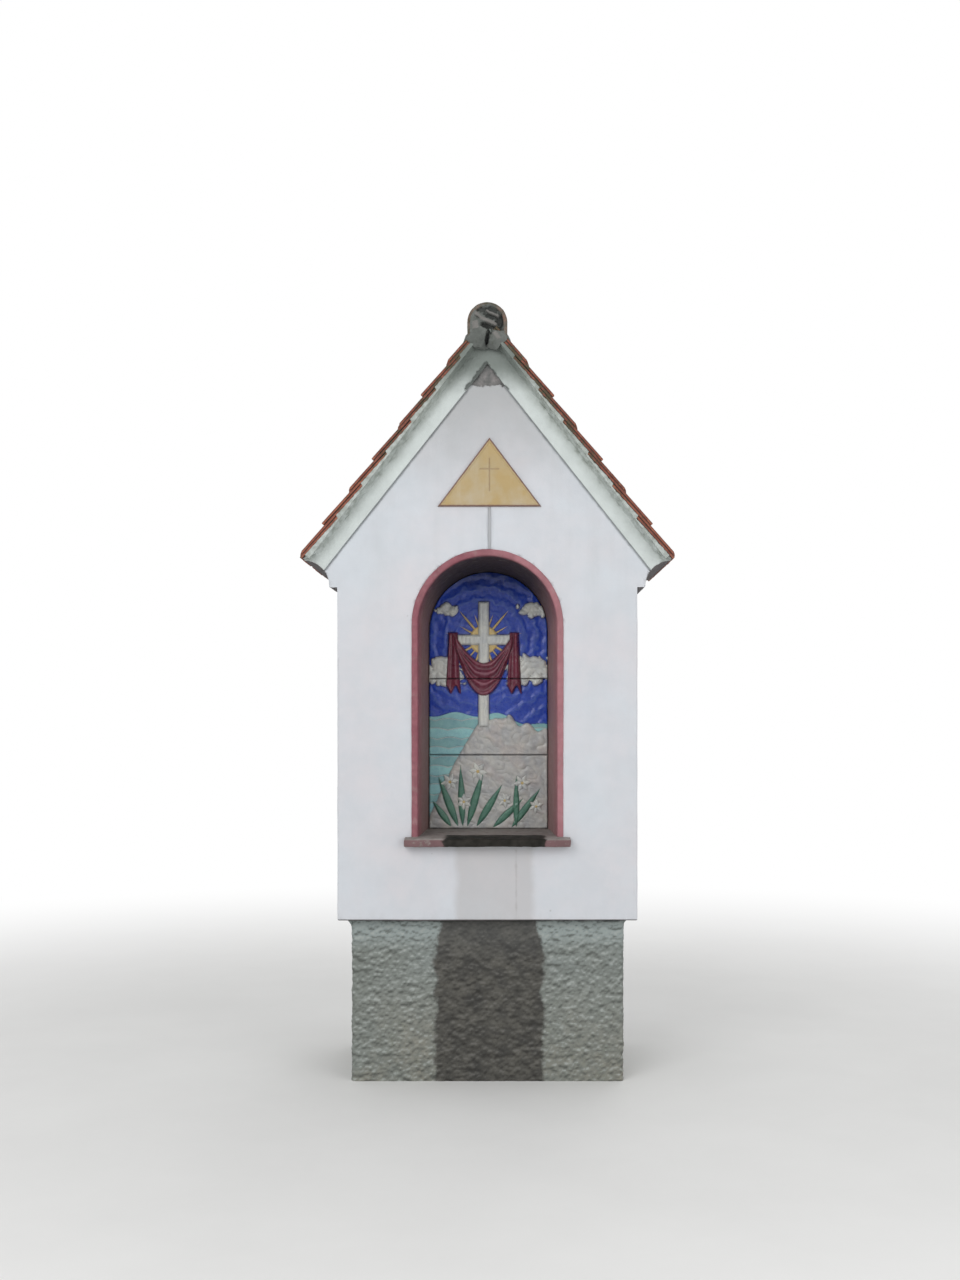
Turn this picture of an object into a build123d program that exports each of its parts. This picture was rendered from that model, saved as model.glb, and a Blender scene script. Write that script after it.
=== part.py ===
"""Wayside shrine: a rendered masonry pillar with an arched niche and a steep tiled gable roof.

Millimetres, +Z up, origin on the ground in the middle of the footprint.
The front, with the niche, faces -Y, and +X is to the viewer's right.
"""
import os
from math import asin, cos, floor, radians, sin, tan

from build123d import *

os.makedirs("parts", exist_ok=True)

# Body and plinth
body_width = 1200
body_depth = 800
plinth_height = 655
plinth_setback = 50
plinth_corner = 12
cove_height = 32
left_cove_reach = 40
right_cove_reach = 26

# Niche, from the masonry recess inwards
niche_floor_rise = 335
jamb_height = 846
niche_depth = 450
recess_half_width = 302
surround_width = 24
surround_projection = 6
niche_splay = 22
seat_gap = 0.3

# Sill
sill_ear = 29
sill_projection = 55
sill_thickness = 36
sill_fall = 6
sill_nose_radius = 8

# Relief panel at the back of the niche
relief_thickness = 30
relief_side_gap = 1
relief_joint = 1
lower_relief_height = 316
middle_relief_height = 327

# Roof tiles
roof_pitch = 52.5
eave_overhang = 22
eave_tail_rise = 121
tile_length = 380
tile_thickness = 12
tile_gauge = 160
tile_gap = 0.3
least_exposure = 40
verge_overhang = 60
bed_thickness = 20
top_course_gap = 12

# Ridge tiles
ridge_radius = 79
ridge_tile_thickness = 15
ridge_leg = 46
ridge_tile_count = 3
ridge_tile_joint = 2

# Eaves cornice
eaves_rise = 152
cornice_step = 32
cornice_list = 6
cornice_reach = 130
cornice_lip = 3

# Raking bands on the gable ends
band_apex_drop = 141
band_eave_drop = 111
band_thickness = 12
verge_fillet_depth = 14
verge_fillet_recess = 10
verge_fillet_edge = 3
verge_fillet_start = 60

# Plaque, the groove under it and the lost plaster at the apex
plaque_base = 414
plaque_height = 275
plaque_shift = 8
plaque_thickness = 10
plaque_rim_width = 11
plaque_rim_height = 3
groove_length = 172
groove_width = 14
groove_depth = 3
lost_plaster_drop = 90
lost_plaster_left = 36
lost_plaster_right = 60
lost_plaster_depth = 11

# Worked out from the sizes above
half_width = body_width / 2
half_depth = body_depth / 2
niche_floor = plinth_height + niche_floor_rise
niche_spring = niche_floor + jamb_height
floor_underside = niche_floor - sill_thickness
recess_back = niche_depth - half_depth
plaque_level = niche_spring + recess_half_width + groove_length
eaves_level = niche_spring + eaves_rise
cornice_half_width = half_width + cornice_reach
eave_half_width = cornice_half_width + eave_overhang
eave_tail_level = eaves_level + eave_tail_rise
roof_half_depth = half_depth + verge_overhang
pitch = radians(roof_pitch)
course_step = tile_thickness + tile_gap
tilt = asin(course_step / tile_gauge)
tile_slope = tan(pitch - tilt)
nose_height = tile_length * sin(tilt) + tile_thickness * cos(tilt)
nose_forward = tile_thickness * sin(tilt)
deck_x = eave_half_width + nose_forward * cos(pitch) - nose_height * sin(pitch)
deck_z = eave_tail_level - nose_forward * sin(pitch) - nose_height * cos(pitch)
deck_apex = deck_z + deck_x * tan(pitch)
bed_drop = bed_thickness / cos(pitch)
shown_run = (eave_half_width - ridge_radius) / cos(pitch)
course_count = 1 + floor((shown_run - least_exposure) / tile_gauge)
top_course = course_count - 1
band_inner_apex = deck_apex - band_apex_drop


def slope_point(side, run, rise):
    """A point on the roof: run up the slope from the eave, rise square to it from the deck."""
    x = deck_x - run * cos(pitch) + rise * sin(pitch)
    z = deck_z + run * sin(pitch) + rise * cos(pitch)
    return (side * x, z)


def tile_point(side, course, along, above):
    """A point of a tile: along it from its tail, above its underside."""
    run = course * tile_gauge + along * cos(tilt) + above * sin(tilt)
    rise = tile_length * sin(tilt) - along * sin(tilt) + above * cos(tilt)
    return slope_point(side, run, rise)


def plane_level(course, x, above):
    """The height at x of a plane parallel to a course and above its underside."""
    tail_x, tail_z = tile_point(1, course, 0, above)
    return tail_z + (tail_x - x) * tile_slope


def sawtooth(side, outer_x):
    """The line just under the tiles, from the eave at outer_x up to the gap at the ridge."""
    points = [(outer_x, plane_level(-1, outer_x, -tile_gap))]
    for course in range(-1, course_count):
        step = tile_point(1, course, tile_length, tile_thickness)
        if step[0] < top_course_gap:
            break
        points.append(tile_point(1, course, tile_length, -tile_gap))
        points.append(step)
    points.append((top_course_gap, plane_level(course, top_course_gap, -tile_gap)))
    return [(side * x, z) for x, z in points]


def core_level(x):
    """The top of the gable masonry at x."""
    return deck_apex - bed_drop - abs(x) * tan(pitch)


def band_inner_level(x):
    """The inner edge of a raking band at x, a little flatter than the roof."""
    fall = tan(pitch) - (band_apex_drop - band_eave_drop) / cornice_half_width
    return band_inner_apex - x * fall


def opening_half_width(y):
    """Half the clear width of the splayed niche at depth y."""
    return recess_half_width - surround_width - niche_splay * (y + half_depth) / niche_depth


def write(piece, name):
    """Label a finished piece and write it."""
    piece.part.label = name
    export_step(piece.part, f"parts/{name}.step")


# Plinth, set back on every side
with BuildPart() as plinth:
    with BuildSketch():
        RectangleRounded(body_width - 2 * plinth_setback, body_depth - 2 * plinth_setback, plinth_corner)
    extrude(amount=plinth_height)
write(plinth, "plinth")

# Mortar coves in the corner under the body's sides
for side, name, reach in ((-1, "left", left_cove_reach), (1, "right", right_cove_reach)):
    corner_x = side * (half_width - plinth_setback)
    with BuildPart() as cove:
        with BuildSketch(Plane.XZ):
            with BuildLine():
                ends = Polyline(
                    (corner_x, plinth_height - cove_height),
                    (corner_x, plinth_height),
                    (corner_x + side * reach, plinth_height),
                )
                middle = (corner_x + side * reach * 0.33, plinth_height - cove_height * 0.33)
                ThreePointArc(ends @ 0, middle, ends @ 1)
            make_face()
        extrude(amount=half_depth - plinth_setback - plinth_corner, both=True)
    write(cove, f"{name}_plinth_cove")

# Lower wall, up to the underside of the niche floor
with BuildPart() as lower_wall:
    with BuildSketch(Plane.XY.offset(plinth_height)):
        Rectangle(body_width, body_depth)
    extrude(amount=floor_underside - plinth_height)
write(lower_wall, "lower_wall")

# Piers beside the niche
pier_width = half_width - recess_half_width
for side, name in ((-1, "left"), (1, "right")):
    with BuildPart() as pier:
        with BuildSketch(Plane.XY.offset(floor_underside)):
            with Locations((side * (half_width - pier_width / 2), recess_back - niche_depth / 2)):
                Rectangle(pier_width, niche_depth)
        extrude(amount=niche_spring - floor_underside)
    write(pier, f"{name}_pier")

# Wall behind the niche
with BuildPart() as back_wall:
    with BuildSketch(Plane.XY.offset(floor_underside)):
        with Locations((0, (half_depth + recess_back) / 2)):
            Rectangle(body_width, half_depth - recess_back)
    extrude(amount=niche_spring - floor_underside)
write(back_wall, "back_wall")

# Front gable over the arch, with the groove and the lost plaster in its face
gable_outline = [
    (-half_width, niche_spring),
    (half_width, niche_spring),
    (half_width, core_level(half_width)),
    (0, core_level(0)),
    (-half_width, core_level(half_width)),
]
with BuildPart() as front_gable:
    with BuildSketch(Plane.XZ.offset(-recess_back)):
        Polygon(*gable_outline, align=None)
        with Locations((0, niche_spring)):
            Circle(recess_half_width, mode=Mode.SUBTRACT)
    extrude(amount=niche_depth)
    with BuildSketch(Plane.XZ.offset(half_depth)):
        with Locations((plaque_shift, plaque_level)):
            Rectangle(groove_width, plaque_level - niche_spring, align=(Align.CENTER, Align.MAX))
    extrude(amount=-groove_depth, mode=Mode.SUBTRACT)
    with BuildSketch(Plane.XZ.offset(half_depth)):
        Polygon(
            (-lost_plaster_left, band_inner_apex - lost_plaster_drop),
            (lost_plaster_right, band_inner_apex - lost_plaster_drop),
            (0, band_inner_apex),
            align=None,
        )
    extrude(amount=-lost_plaster_depth, mode=Mode.SUBTRACT)
write(front_gable, "front_gable")

# Rear gable
with BuildPart() as rear_gable:
    with BuildSketch(Plane.XZ.offset(-half_depth)):
        Polygon(*gable_outline, align=None)
    extrude(amount=half_depth - recess_back)
write(rear_gable, "rear_gable")

# Jambs of the niche surround, splayed towards the back and proud of the wall in front
front_y = -half_depth - surround_projection
for side, name in ((-1, "left"), (1, "right")):
    with BuildPart() as jamb:
        with BuildSketch(Plane.XY.offset(niche_floor)):
            Polygon(
                (side * recess_half_width, front_y),
                (side * opening_half_width(front_y), front_y),
                (side * opening_half_width(recess_back), recess_back),
                (side * recess_half_width, recess_back),
                align=None,
            )
        extrude(amount=niche_spring - niche_floor)
    write(jamb, f"{name}_niche_jamb")

# Arch of the niche surround, splayed like the jambs
with BuildPart() as niche_arch:
    with BuildSketch(Plane.XZ.offset(-recess_back)):
        with Locations((0, niche_spring)):
            Circle(recess_half_width - seat_gap)
    extrude(amount=niche_depth + surround_projection)
    with BuildSketch(Plane.XZ.offset(-recess_back)):
        with Locations((0, niche_spring)):
            Circle(opening_half_width(recess_back))
    with BuildSketch(Plane.XZ.offset(-front_y)):
        with Locations((0, niche_spring)):
            Circle(opening_half_width(front_y))
    loft(mode=Mode.SUBTRACT)
    split(bisect_by=Plane.XY.offset(niche_spring), keep=Keep.TOP)
write(niche_arch, "niche_arch")

# Sill and niche floor in one, with a weathered nosing wider than the opening
nose_y = -half_depth - sill_projection
with BuildPart() as niche_sill:
    with BuildSketch(Plane.YZ):
        Polygon(
            (nose_y, floor_underside),
            (nose_y, niche_floor - sill_fall),
            (-half_depth, niche_floor),
            (-half_depth, floor_underside),
            align=None,
        )
    extrude(amount=recess_half_width + sill_ear, both=True)
    nosing = niche_sill.edges().filter_by(Axis.X).group_by(Axis.Y)[0].sort_by(Axis.Z)[-1]
    fillet(nosing, radius=sill_nose_radius)
    with BuildSketch(Plane.XY.offset(floor_underside)):
        with Locations((0, recess_back - niche_depth / 2)):
            Rectangle(2 * recess_half_width, niche_depth)
    extrude(amount=sill_thickness)
write(niche_sill, "niche_sill")

# Three relief slabs that fill the back of the niche
relief_half_width = opening_half_width(recess_back) - relief_side_gap
middle_bottom = niche_floor + lower_relief_height
upper_bottom = middle_bottom + middle_relief_height
for name, bottom, top in (
    ("lower", niche_floor, middle_bottom - relief_joint),
    ("middle", middle_bottom, upper_bottom - relief_joint),
    ("upper", upper_bottom, niche_spring),
):
    with BuildPart() as relief:
        with BuildSketch(Plane.XZ.offset(-recess_back)):
            with Locations((0, bottom)):
                Rectangle(2 * relief_half_width, top - bottom, align=(Align.CENTER, Align.MIN))
            if top == niche_spring:
                with Locations((0, niche_spring)):
                    Circle(relief_half_width)
                with Locations((0, bottom)):
                    Rectangle(
                        2 * relief_half_width,
                        relief_half_width,
                        align=(Align.CENTER, Align.MAX),
                        mode=Mode.SUBTRACT,
                    )
        extrude(amount=relief_thickness)
    write(relief, f"{name}_relief")

# Plaque with a raised rim over the niche
with BuildPart() as plaque:
    with BuildSketch(Plane.XZ.offset(half_depth)) as plaque_outline:
        Polygon(
            (plaque_shift - plaque_base / 2, plaque_level),
            (plaque_shift + plaque_base / 2, plaque_level),
            (plaque_shift, plaque_level + plaque_height),
            align=None,
        )
    extrude(amount=plaque_thickness)
    with BuildSketch(Plane.XZ.offset(half_depth + plaque_thickness)):
        add(plaque_outline.sketch.faces()[0].moved(Location((0, -plaque_thickness, 0))))
        offset(amount=-plaque_rim_width, mode=Mode.REPLACE)
    extrude(amount=-plaque_rim_height, mode=Mode.SUBTRACT)
write(plaque, "triangle_plaque")

# Eaves cornices with a cavetto, running the depth of the body
for side, name in ((-1, "left"), (1, "right")):
    with BuildPart() as cornice:
        with BuildSketch(Plane.XZ):
            top_corner = plane_level(-1, cornice_half_width, -tile_gap)
            Polygon(
                (side * half_width, eaves_level),
                (side * (half_width + cornice_step), eaves_level),
                (side * (half_width + cornice_step), eaves_level + cornice_list),
                (side * cornice_half_width, eaves_level + cornice_list),
                (side * cornice_half_width, top_corner),
                (side * half_width, plane_level(-1, half_width, -tile_gap)),
                align=None,
            )
            with Locations((side * cornice_half_width, eaves_level + cornice_list)):
                Ellipse(
                    cornice_reach - cornice_step,
                    top_corner - cornice_lip - eaves_level - cornice_list,
                    mode=Mode.SUBTRACT,
                )
        extrude(amount=half_depth, both=True)
    write(cornice, f"{name}_eaves_cornice")

# Raking bands on both gable ends, each with a mortar fillet under the verge tiles
fillet_drop = verge_fillet_depth / cos(pitch)
fillet_reach = verge_overhang - band_thickness - verge_fillet_recess
for side, side_name in ((-1, "left"), (1, "right")):
    tile_line = sawtooth(side, cornice_half_width)
    top_level = tile_line[-1][1]
    fillet_start = cornice_half_width - verge_fillet_start
    up_slope = (-side * cos(pitch), 0, sin(pitch))
    for facing, end_name in ((1, "front"), (-1, "rear")):
        wall_plane = Plane.XZ.offset(facing * half_depth)
        face_plane = Plane.XZ.offset(facing * (half_depth + band_thickness))
        with BuildPart() as band:
            with BuildSketch(wall_plane):
                Polygon(
                    (0, band_inner_apex),
                    (side * cornice_half_width, band_inner_level(cornice_half_width)),
                    *tile_line,
                    (0, top_level),
                    align=None,
                )
                with Locations((side * cornice_half_width, eaves_level + cornice_list)):
                    Ellipse(
                        cornice_reach - cornice_step,
                        tile_line[0][1] - cornice_lip - eaves_level - cornice_list,
                        mode=Mode.SUBTRACT,
                    )
            extrude(amount=facing * band_thickness)
            with BuildSketch(face_plane):
                Polygon(
                    *tile_line,
                    (0, top_level),
                    (0, deck_apex - fillet_drop),
                    (side * fillet_start, deck_apex - fillet_drop - fillet_start * tan(pitch)),
                    align=None,
                )
            extrude(amount=facing * fillet_reach)
            with BuildSketch(Plane(origin=(0, 0, deck_apex), x_dir=(0, -facing, 0), z_dir=up_slope)):
                Polygon(
                    (half_depth + band_thickness, -side * facing * verge_fillet_depth),
                    (roof_half_depth, -side * facing * verge_fillet_depth),
                    (roof_half_depth, -side * facing * verge_fillet_edge),
                    align=None,
                )
            extrude(amount=2 * body_width, both=True, mode=Mode.SUBTRACT)
        write(band, f"{end_name}_{side_name}_raking_band")

# Mortar bed over the masonry, stepped to carry the heads of the tiles
with BuildPart() as roof_bed:
    with BuildSketch(Plane.XZ):
        Polygon(
            (cornice_half_width, core_level(cornice_half_width)),
            *sawtooth(1, cornice_half_width),
            *reversed(sawtooth(-1, cornice_half_width)),
            (-cornice_half_width, core_level(cornice_half_width)),
            (0, core_level(0)),
            align=None,
        )
        with Locations((0, deck_apex)):
            Rectangle(body_width, 2 * deck_apex, mode=Mode.INTERSECT)
    extrude(amount=half_depth, both=True)
write(roof_bed, "roof_mortar_bed")

# Plain tiles in double lap, one solid to a course
for side, name in ((-1, "left"), (1, "right")):
    under_eave_length = tile_length - tile_gauge * cos(tilt)
    with BuildPart() as eave_course:
        with BuildSketch(Plane.XZ):
            Polygon(
                tile_point(side, -1, tile_gauge * cos(tilt), 0),
                tile_point(side, -1, tile_length, 0),
                tile_point(side, -1, tile_length, tile_thickness),
                tile_point(side, -1, tile_gauge * cos(tilt), tile_thickness),
                align=None,
            )
        extrude(amount=roof_half_depth, both=True)
    write(eave_course, f"{name}_eave_tiles")
    for course in range(course_count):
        with BuildPart() as tile_course:
            with BuildSketch(Plane.XZ):
                Polygon(
                    tile_point(side, course, 0, 0),
                    tile_point(side, course, tile_length, 0),
                    tile_point(side, course, tile_length, tile_thickness),
                    tile_point(side, course, 0, tile_thickness),
                    align=None,
                )
                with Locations((side * top_course_gap, deck_apex)):
                    Rectangle(
                        2 * tile_length,
                        2 * tile_length,
                        align=(Align.MAX if side > 0 else Align.MIN, Align.CENTER),
                        mode=Mode.SUBTRACT,
                    )
            extrude(amount=roof_half_depth, both=True)
        write(tile_course, f"{name}_tile_course_{course + 1}")

# Mortar core of the ridge
ridge_inner_radius = ridge_radius - ridge_tile_thickness
ridge_centre = plane_level(top_course, ridge_inner_radius, course_step) + ridge_leg
bed_apex = sawtooth(1, half_width)[-1][1]
core_half_width = ridge_inner_radius - seat_gap
gap_half_width = top_course_gap - seat_gap
leg_level = plane_level(top_course, core_half_width, course_step)
gap_level = plane_level(top_course, gap_half_width, course_step)
with BuildPart() as ridge_mortar:
    with BuildSketch(Plane.XZ):
        with Locations((0, ridge_centre)):
            Circle(core_half_width)
            Rectangle(
                2 * core_half_width,
                core_half_width,
                align=(Align.CENTER, Align.MAX),
                mode=Mode.SUBTRACT,
            )
        with Locations((0, leg_level)):
            Rectangle(2 * core_half_width, ridge_centre - leg_level, align=(Align.CENTER, Align.MIN))
        Polygon(
            (-core_half_width, leg_level),
            (-gap_half_width, gap_level),
            (-gap_half_width, bed_apex),
            (gap_half_width, bed_apex),
            (gap_half_width, gap_level),
            (core_half_width, leg_level),
            align=None,
            mode=Mode.SUBTRACT,
        )
    extrude(amount=roof_half_depth, both=True)
write(ridge_mortar, "ridge_mortar")

# Ridge tiles with legs cut to the slope
ridge_tile_length = (2 * roof_half_depth - (ridge_tile_count - 1) * ridge_tile_joint) / ridge_tile_count
for number, name in enumerate(("front", "middle", "rear")):
    start = roof_half_depth - number * (ridge_tile_length + ridge_tile_joint)
    with BuildPart() as ridge_tile:
        with BuildSketch(Plane.XZ.offset(start)):
            with Locations((0, ridge_centre)):
                Circle(ridge_radius)
                Circle(ridge_inner_radius, mode=Mode.SUBTRACT)
                Rectangle(
                    2 * ridge_radius,
                    ridge_radius,
                    align=(Align.CENTER, Align.MAX),
                    mode=Mode.SUBTRACT,
                )
            for side in (-1, 1):
                Polygon(
                    (side * ridge_inner_radius, ridge_centre),
                    (side * ridge_radius, ridge_centre),
                    (side * ridge_radius, plane_level(top_course, ridge_radius, course_step)),
                    (side * ridge_inner_radius, plane_level(top_course, ridge_inner_radius, course_step)),
                    align=None,
                )
        extrude(amount=-ridge_tile_length)
    write(ridge_tile, f"{name}_ridge_tile")
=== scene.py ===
"""Wayside shrine: a rendered masonry pillar with an arched niche under a steep tiled roof.

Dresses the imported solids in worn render, rough-cast, painted mortar, glazed relief and fired tiles.
"""

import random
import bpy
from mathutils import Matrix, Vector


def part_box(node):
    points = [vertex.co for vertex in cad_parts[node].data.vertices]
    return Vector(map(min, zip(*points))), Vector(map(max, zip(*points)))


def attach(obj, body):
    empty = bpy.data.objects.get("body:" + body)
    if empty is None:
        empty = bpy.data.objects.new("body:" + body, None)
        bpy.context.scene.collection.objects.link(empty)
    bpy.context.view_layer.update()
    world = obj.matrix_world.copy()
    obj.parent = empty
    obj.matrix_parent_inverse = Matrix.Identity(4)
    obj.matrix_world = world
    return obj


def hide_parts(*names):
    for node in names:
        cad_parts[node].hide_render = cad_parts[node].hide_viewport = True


bl_info = {
    "name": "Wayside Shrine",
    "version": (1, 0, 0),
    "blender": (4, 5, 0),
    "location": "View3D > Sidebar > Shrine",
    "description": "Dresses the packed solids of the wayside shrine in worn, detailed pieces",
    "category": "Add Mesh",
}

from math import asin, ceil, copysign, cos, pi, radians, sin, tan

import bmesh
import bpy
import numpy as np
from bpy.props import FloatProperty, FloatVectorProperty, IntProperty, PointerProperty
from mathutils import Vector, noise

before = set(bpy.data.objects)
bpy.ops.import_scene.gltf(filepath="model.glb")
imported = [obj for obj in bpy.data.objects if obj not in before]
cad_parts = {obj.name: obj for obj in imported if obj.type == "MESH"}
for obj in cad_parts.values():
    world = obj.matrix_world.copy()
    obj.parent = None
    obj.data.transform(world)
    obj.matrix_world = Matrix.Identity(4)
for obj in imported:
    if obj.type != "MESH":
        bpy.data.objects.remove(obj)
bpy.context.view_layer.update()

# Places on the solids that the pieces keep to, in metres
BODY_HALF_WIDTH = 0.600
BODY_HALF_DEPTH = 0.400
FRONT = -BODY_HALF_DEPTH
BODY_FOOT = 0.655
NICHE_FLOOR = 0.990
NICHE_SPRING = 1.836
NICHE_BACK = 0.050
RECESS_HALF_WIDTH = 0.302
SURROUND_WIDTH = 0.024
NICHE_DEPTH = 0.450
NICHE_SPLAY = 0.022
RELIEF_FACE = 0.020
RELIEF_JOINTS = (1.306, 1.633)
EAVES_LEVEL = 1.988
CORNICE_HALF_WIDTH = 0.730
BAND_INNER_APEX = 2.881
BAND_FALL = 1.2621
PLAQUE_LEVEL = 2.310
PLAQUE_SHIFT = 0.008
GABLE_TIP = 2.990
LOST_PLASTER_DEPTH = 0.011

# The broken tip of the front gable: half its width, and its levels on the wall and the bands
TIP_REACH = 0.10
WALL_TIP = (2.755, 2.89)
BAND_TIP = (2.775, 2.92)

# The roof, in metres and radians
PITCH = radians(52.5)
TILE_LENGTH = 0.380
TILE_THICKNESS = 0.012
TILE_GAUGE = 0.160
COURSE_STEP = 0.0123
TILT = asin(COURSE_STEP / TILE_GAUGE)
EAVE_HALF_WIDTH = 0.752
EAVE_TAIL_LEVEL = 2.109
ROOF_HALF_DEPTH = 0.460
COURSE_COUNT = 7
NOSE_HEIGHT = TILE_LENGTH * sin(TILT) + TILE_THICKNESS * cos(TILT)
NOSE_FORWARD = TILE_THICKNESS * sin(TILT)
DECK_X = EAVE_HALF_WIDTH + NOSE_FORWARD * cos(PITCH) - NOSE_HEIGHT * sin(PITCH)
DECK_Z = EAVE_TAIL_LEVEL - NOSE_FORWARD * sin(PITCH) - NOSE_HEIGHT * cos(PITCH)
DECK_APEX = DECK_Z + DECK_X * tan(PITCH)
RIDGE_RADIUS = 0.079
RIDGE_INNER_RADIUS = 0.064
RIDGE_LEG = 0.046


class WallSettings(bpy.types.PropertyGroup):
    """Sizes of the wear on the render and the rough-cast."""

    cell: FloatProperty(
        name="Cell", description="Size of the squares that carry the wear of the smooth render",
        default=0.016, min=0.008, max=0.05, unit="LENGTH",
    )
    arris: FloatProperty(
        name="Arris", description="Width of the worn corners of the render",
        default=0.007, min=0.001, max=0.02, unit="LENGTH",
    )
    sway: FloatProperty(
        name="Sway", description="How far the hand-floated render wanders from flat",
        default=0.0022, min=0.0, max=0.006, unit="LENGTH",
    )
    rough_cell: FloatProperty(
        name="Rough-cast cell", description="Size of the squares that carry the lumps of the rough-cast",
        default=0.0054, min=0.004, max=0.02, unit="LENGTH",
    )
    rough_depth: FloatProperty(
        name="Rough-cast depth", description="Height of the thrown lumps on the plinth",
        default=0.0046, min=0.0, max=0.008, unit="LENGTH",
    )


class NicheSettings(bpy.types.PropertyGroup):
    """Sizes of the pieces in and round the niche."""

    reveal_step: FloatProperty(
        name="Reveal step", description="Spacing of the points on the painted surround",
        default=0.009, min=0.004, max=0.05, unit="LENGTH",
    )
    relief_cell: FloatProperty(
        name="Relief cell", description="Spacing of the points on the glazed relief",
        default=0.0020, min=0.0015, max=0.01, unit="LENGTH",
    )
    relief_lift: FloatProperty(
        name="Relief lift", description="Height of the boldest forms of the relief above its slabs",
        default=0.026, min=0.005, max=0.04, unit="LENGTH",
    )


class RoofSettings(bpy.types.PropertyGroup):
    """Sizes of the single tiles and the ridge."""

    tile_width: FloatProperty(
        name="Tile width", description="Width that one plain tile takes along the eaves",
        default=0.184, min=0.1, max=0.3, unit="LENGTH",
    )
    tile_joint: FloatProperty(
        name="Tile joint", description="Gap between two neighbouring tiles",
        default=0.0024, min=0.0005, max=0.01, unit="LENGTH",
    )
    tail_curve: FloatProperty(
        name="Tail curve", description="How far the middle of a tail reaches below its corners",
        default=0.018, min=0.0, max=0.04, unit="LENGTH",
    )
    seed: IntProperty(
        name="Seed", description="Start of the random lie and chips of the tiles",
        default=11, min=0,
    )


class FinishColours(bpy.types.PropertyGroup):
    """Colours of the finishes, as plain scene values."""

    wall: FloatVectorProperty(
        name="Render", description="Cool white of the smooth render",
        subtype="COLOR", default=(0.622, 0.656, 0.697), min=0.0, max=1.0,
    )
    wall_tint: FloatVectorProperty(
        name="Render tint", description="Pinkish white that drifts through the render",
        subtype="COLOR", default=(0.648, 0.630, 0.656), min=0.0, max=1.0,
    )
    band: FloatVectorProperty(
        name="Band", description="Greenish white of the raking bands",
        subtype="COLOR", default=(0.620, 0.668, 0.655), min=0.0, max=1.0,
    )
    algae: FloatVectorProperty(
        name="Algae", description="Grey green growth under the tiles",
        subtype="COLOR", default=(0.300, 0.330, 0.290), min=0.0, max=1.0,
    )
    cement: FloatVectorProperty(
        name="Cement", description="Grey of the bare cement and the rough-cast",
        subtype="COLOR", default=(0.225, 0.245, 0.225), min=0.0, max=1.0,
    )
    damp: FloatVectorProperty(
        name="Damp", description="Dark brown grey of the wet rough-cast",
        subtype="COLOR", default=(0.046, 0.045, 0.041), min=0.0, max=1.0,
    )
    red: FloatVectorProperty(
        name="Red paint", description="Dull red pink of the niche surround",
        subtype="COLOR", default=(0.285, 0.100, 0.125), min=0.0, max=1.0,
    )
    ochre: FloatVectorProperty(
        name="Ochre paint", description="Warm yellow of the plaque",
        subtype="COLOR", default=(0.440, 0.322, 0.150), min=0.0, max=1.0,
    )
    tile: FloatVectorProperty(
        name="Tile", description="Orange red of the fired tiles",
        subtype="COLOR", default=(0.270, 0.078, 0.048), min=0.0, max=1.0,
    )
    moss: FloatVectorProperty(
        name="Moss", description="Dark olive of the moss and dirt",
        subtype="COLOR", default=(0.060, 0.062, 0.034), min=0.0, max=1.0,
    )


class StageSettings(bpy.types.PropertyGroup):
    """The light and the lens."""

    daylight: FloatProperty(
        name="Daylight", description="Strength of the even light from all round",
        default=0.585, min=0.0, max=2.0,
    )
    key: FloatProperty(
        name="Key", description="Power of the large soft lamp",
        default=170.0, min=0.0, max=2000.0, unit="POWER",
    )
    lens: FloatProperty(
        name="Lens", description="Focal length of the camera, in millimetres",
        default=39.4, min=10.0, max=200.0,
    )
    distance: FloatProperty(
        name="Distance", description="How far the camera stands in front of the middle of the shrine",
        default=6.0, min=2.0, max=30.0, unit="LENGTH",
    )


# Node trees


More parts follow.
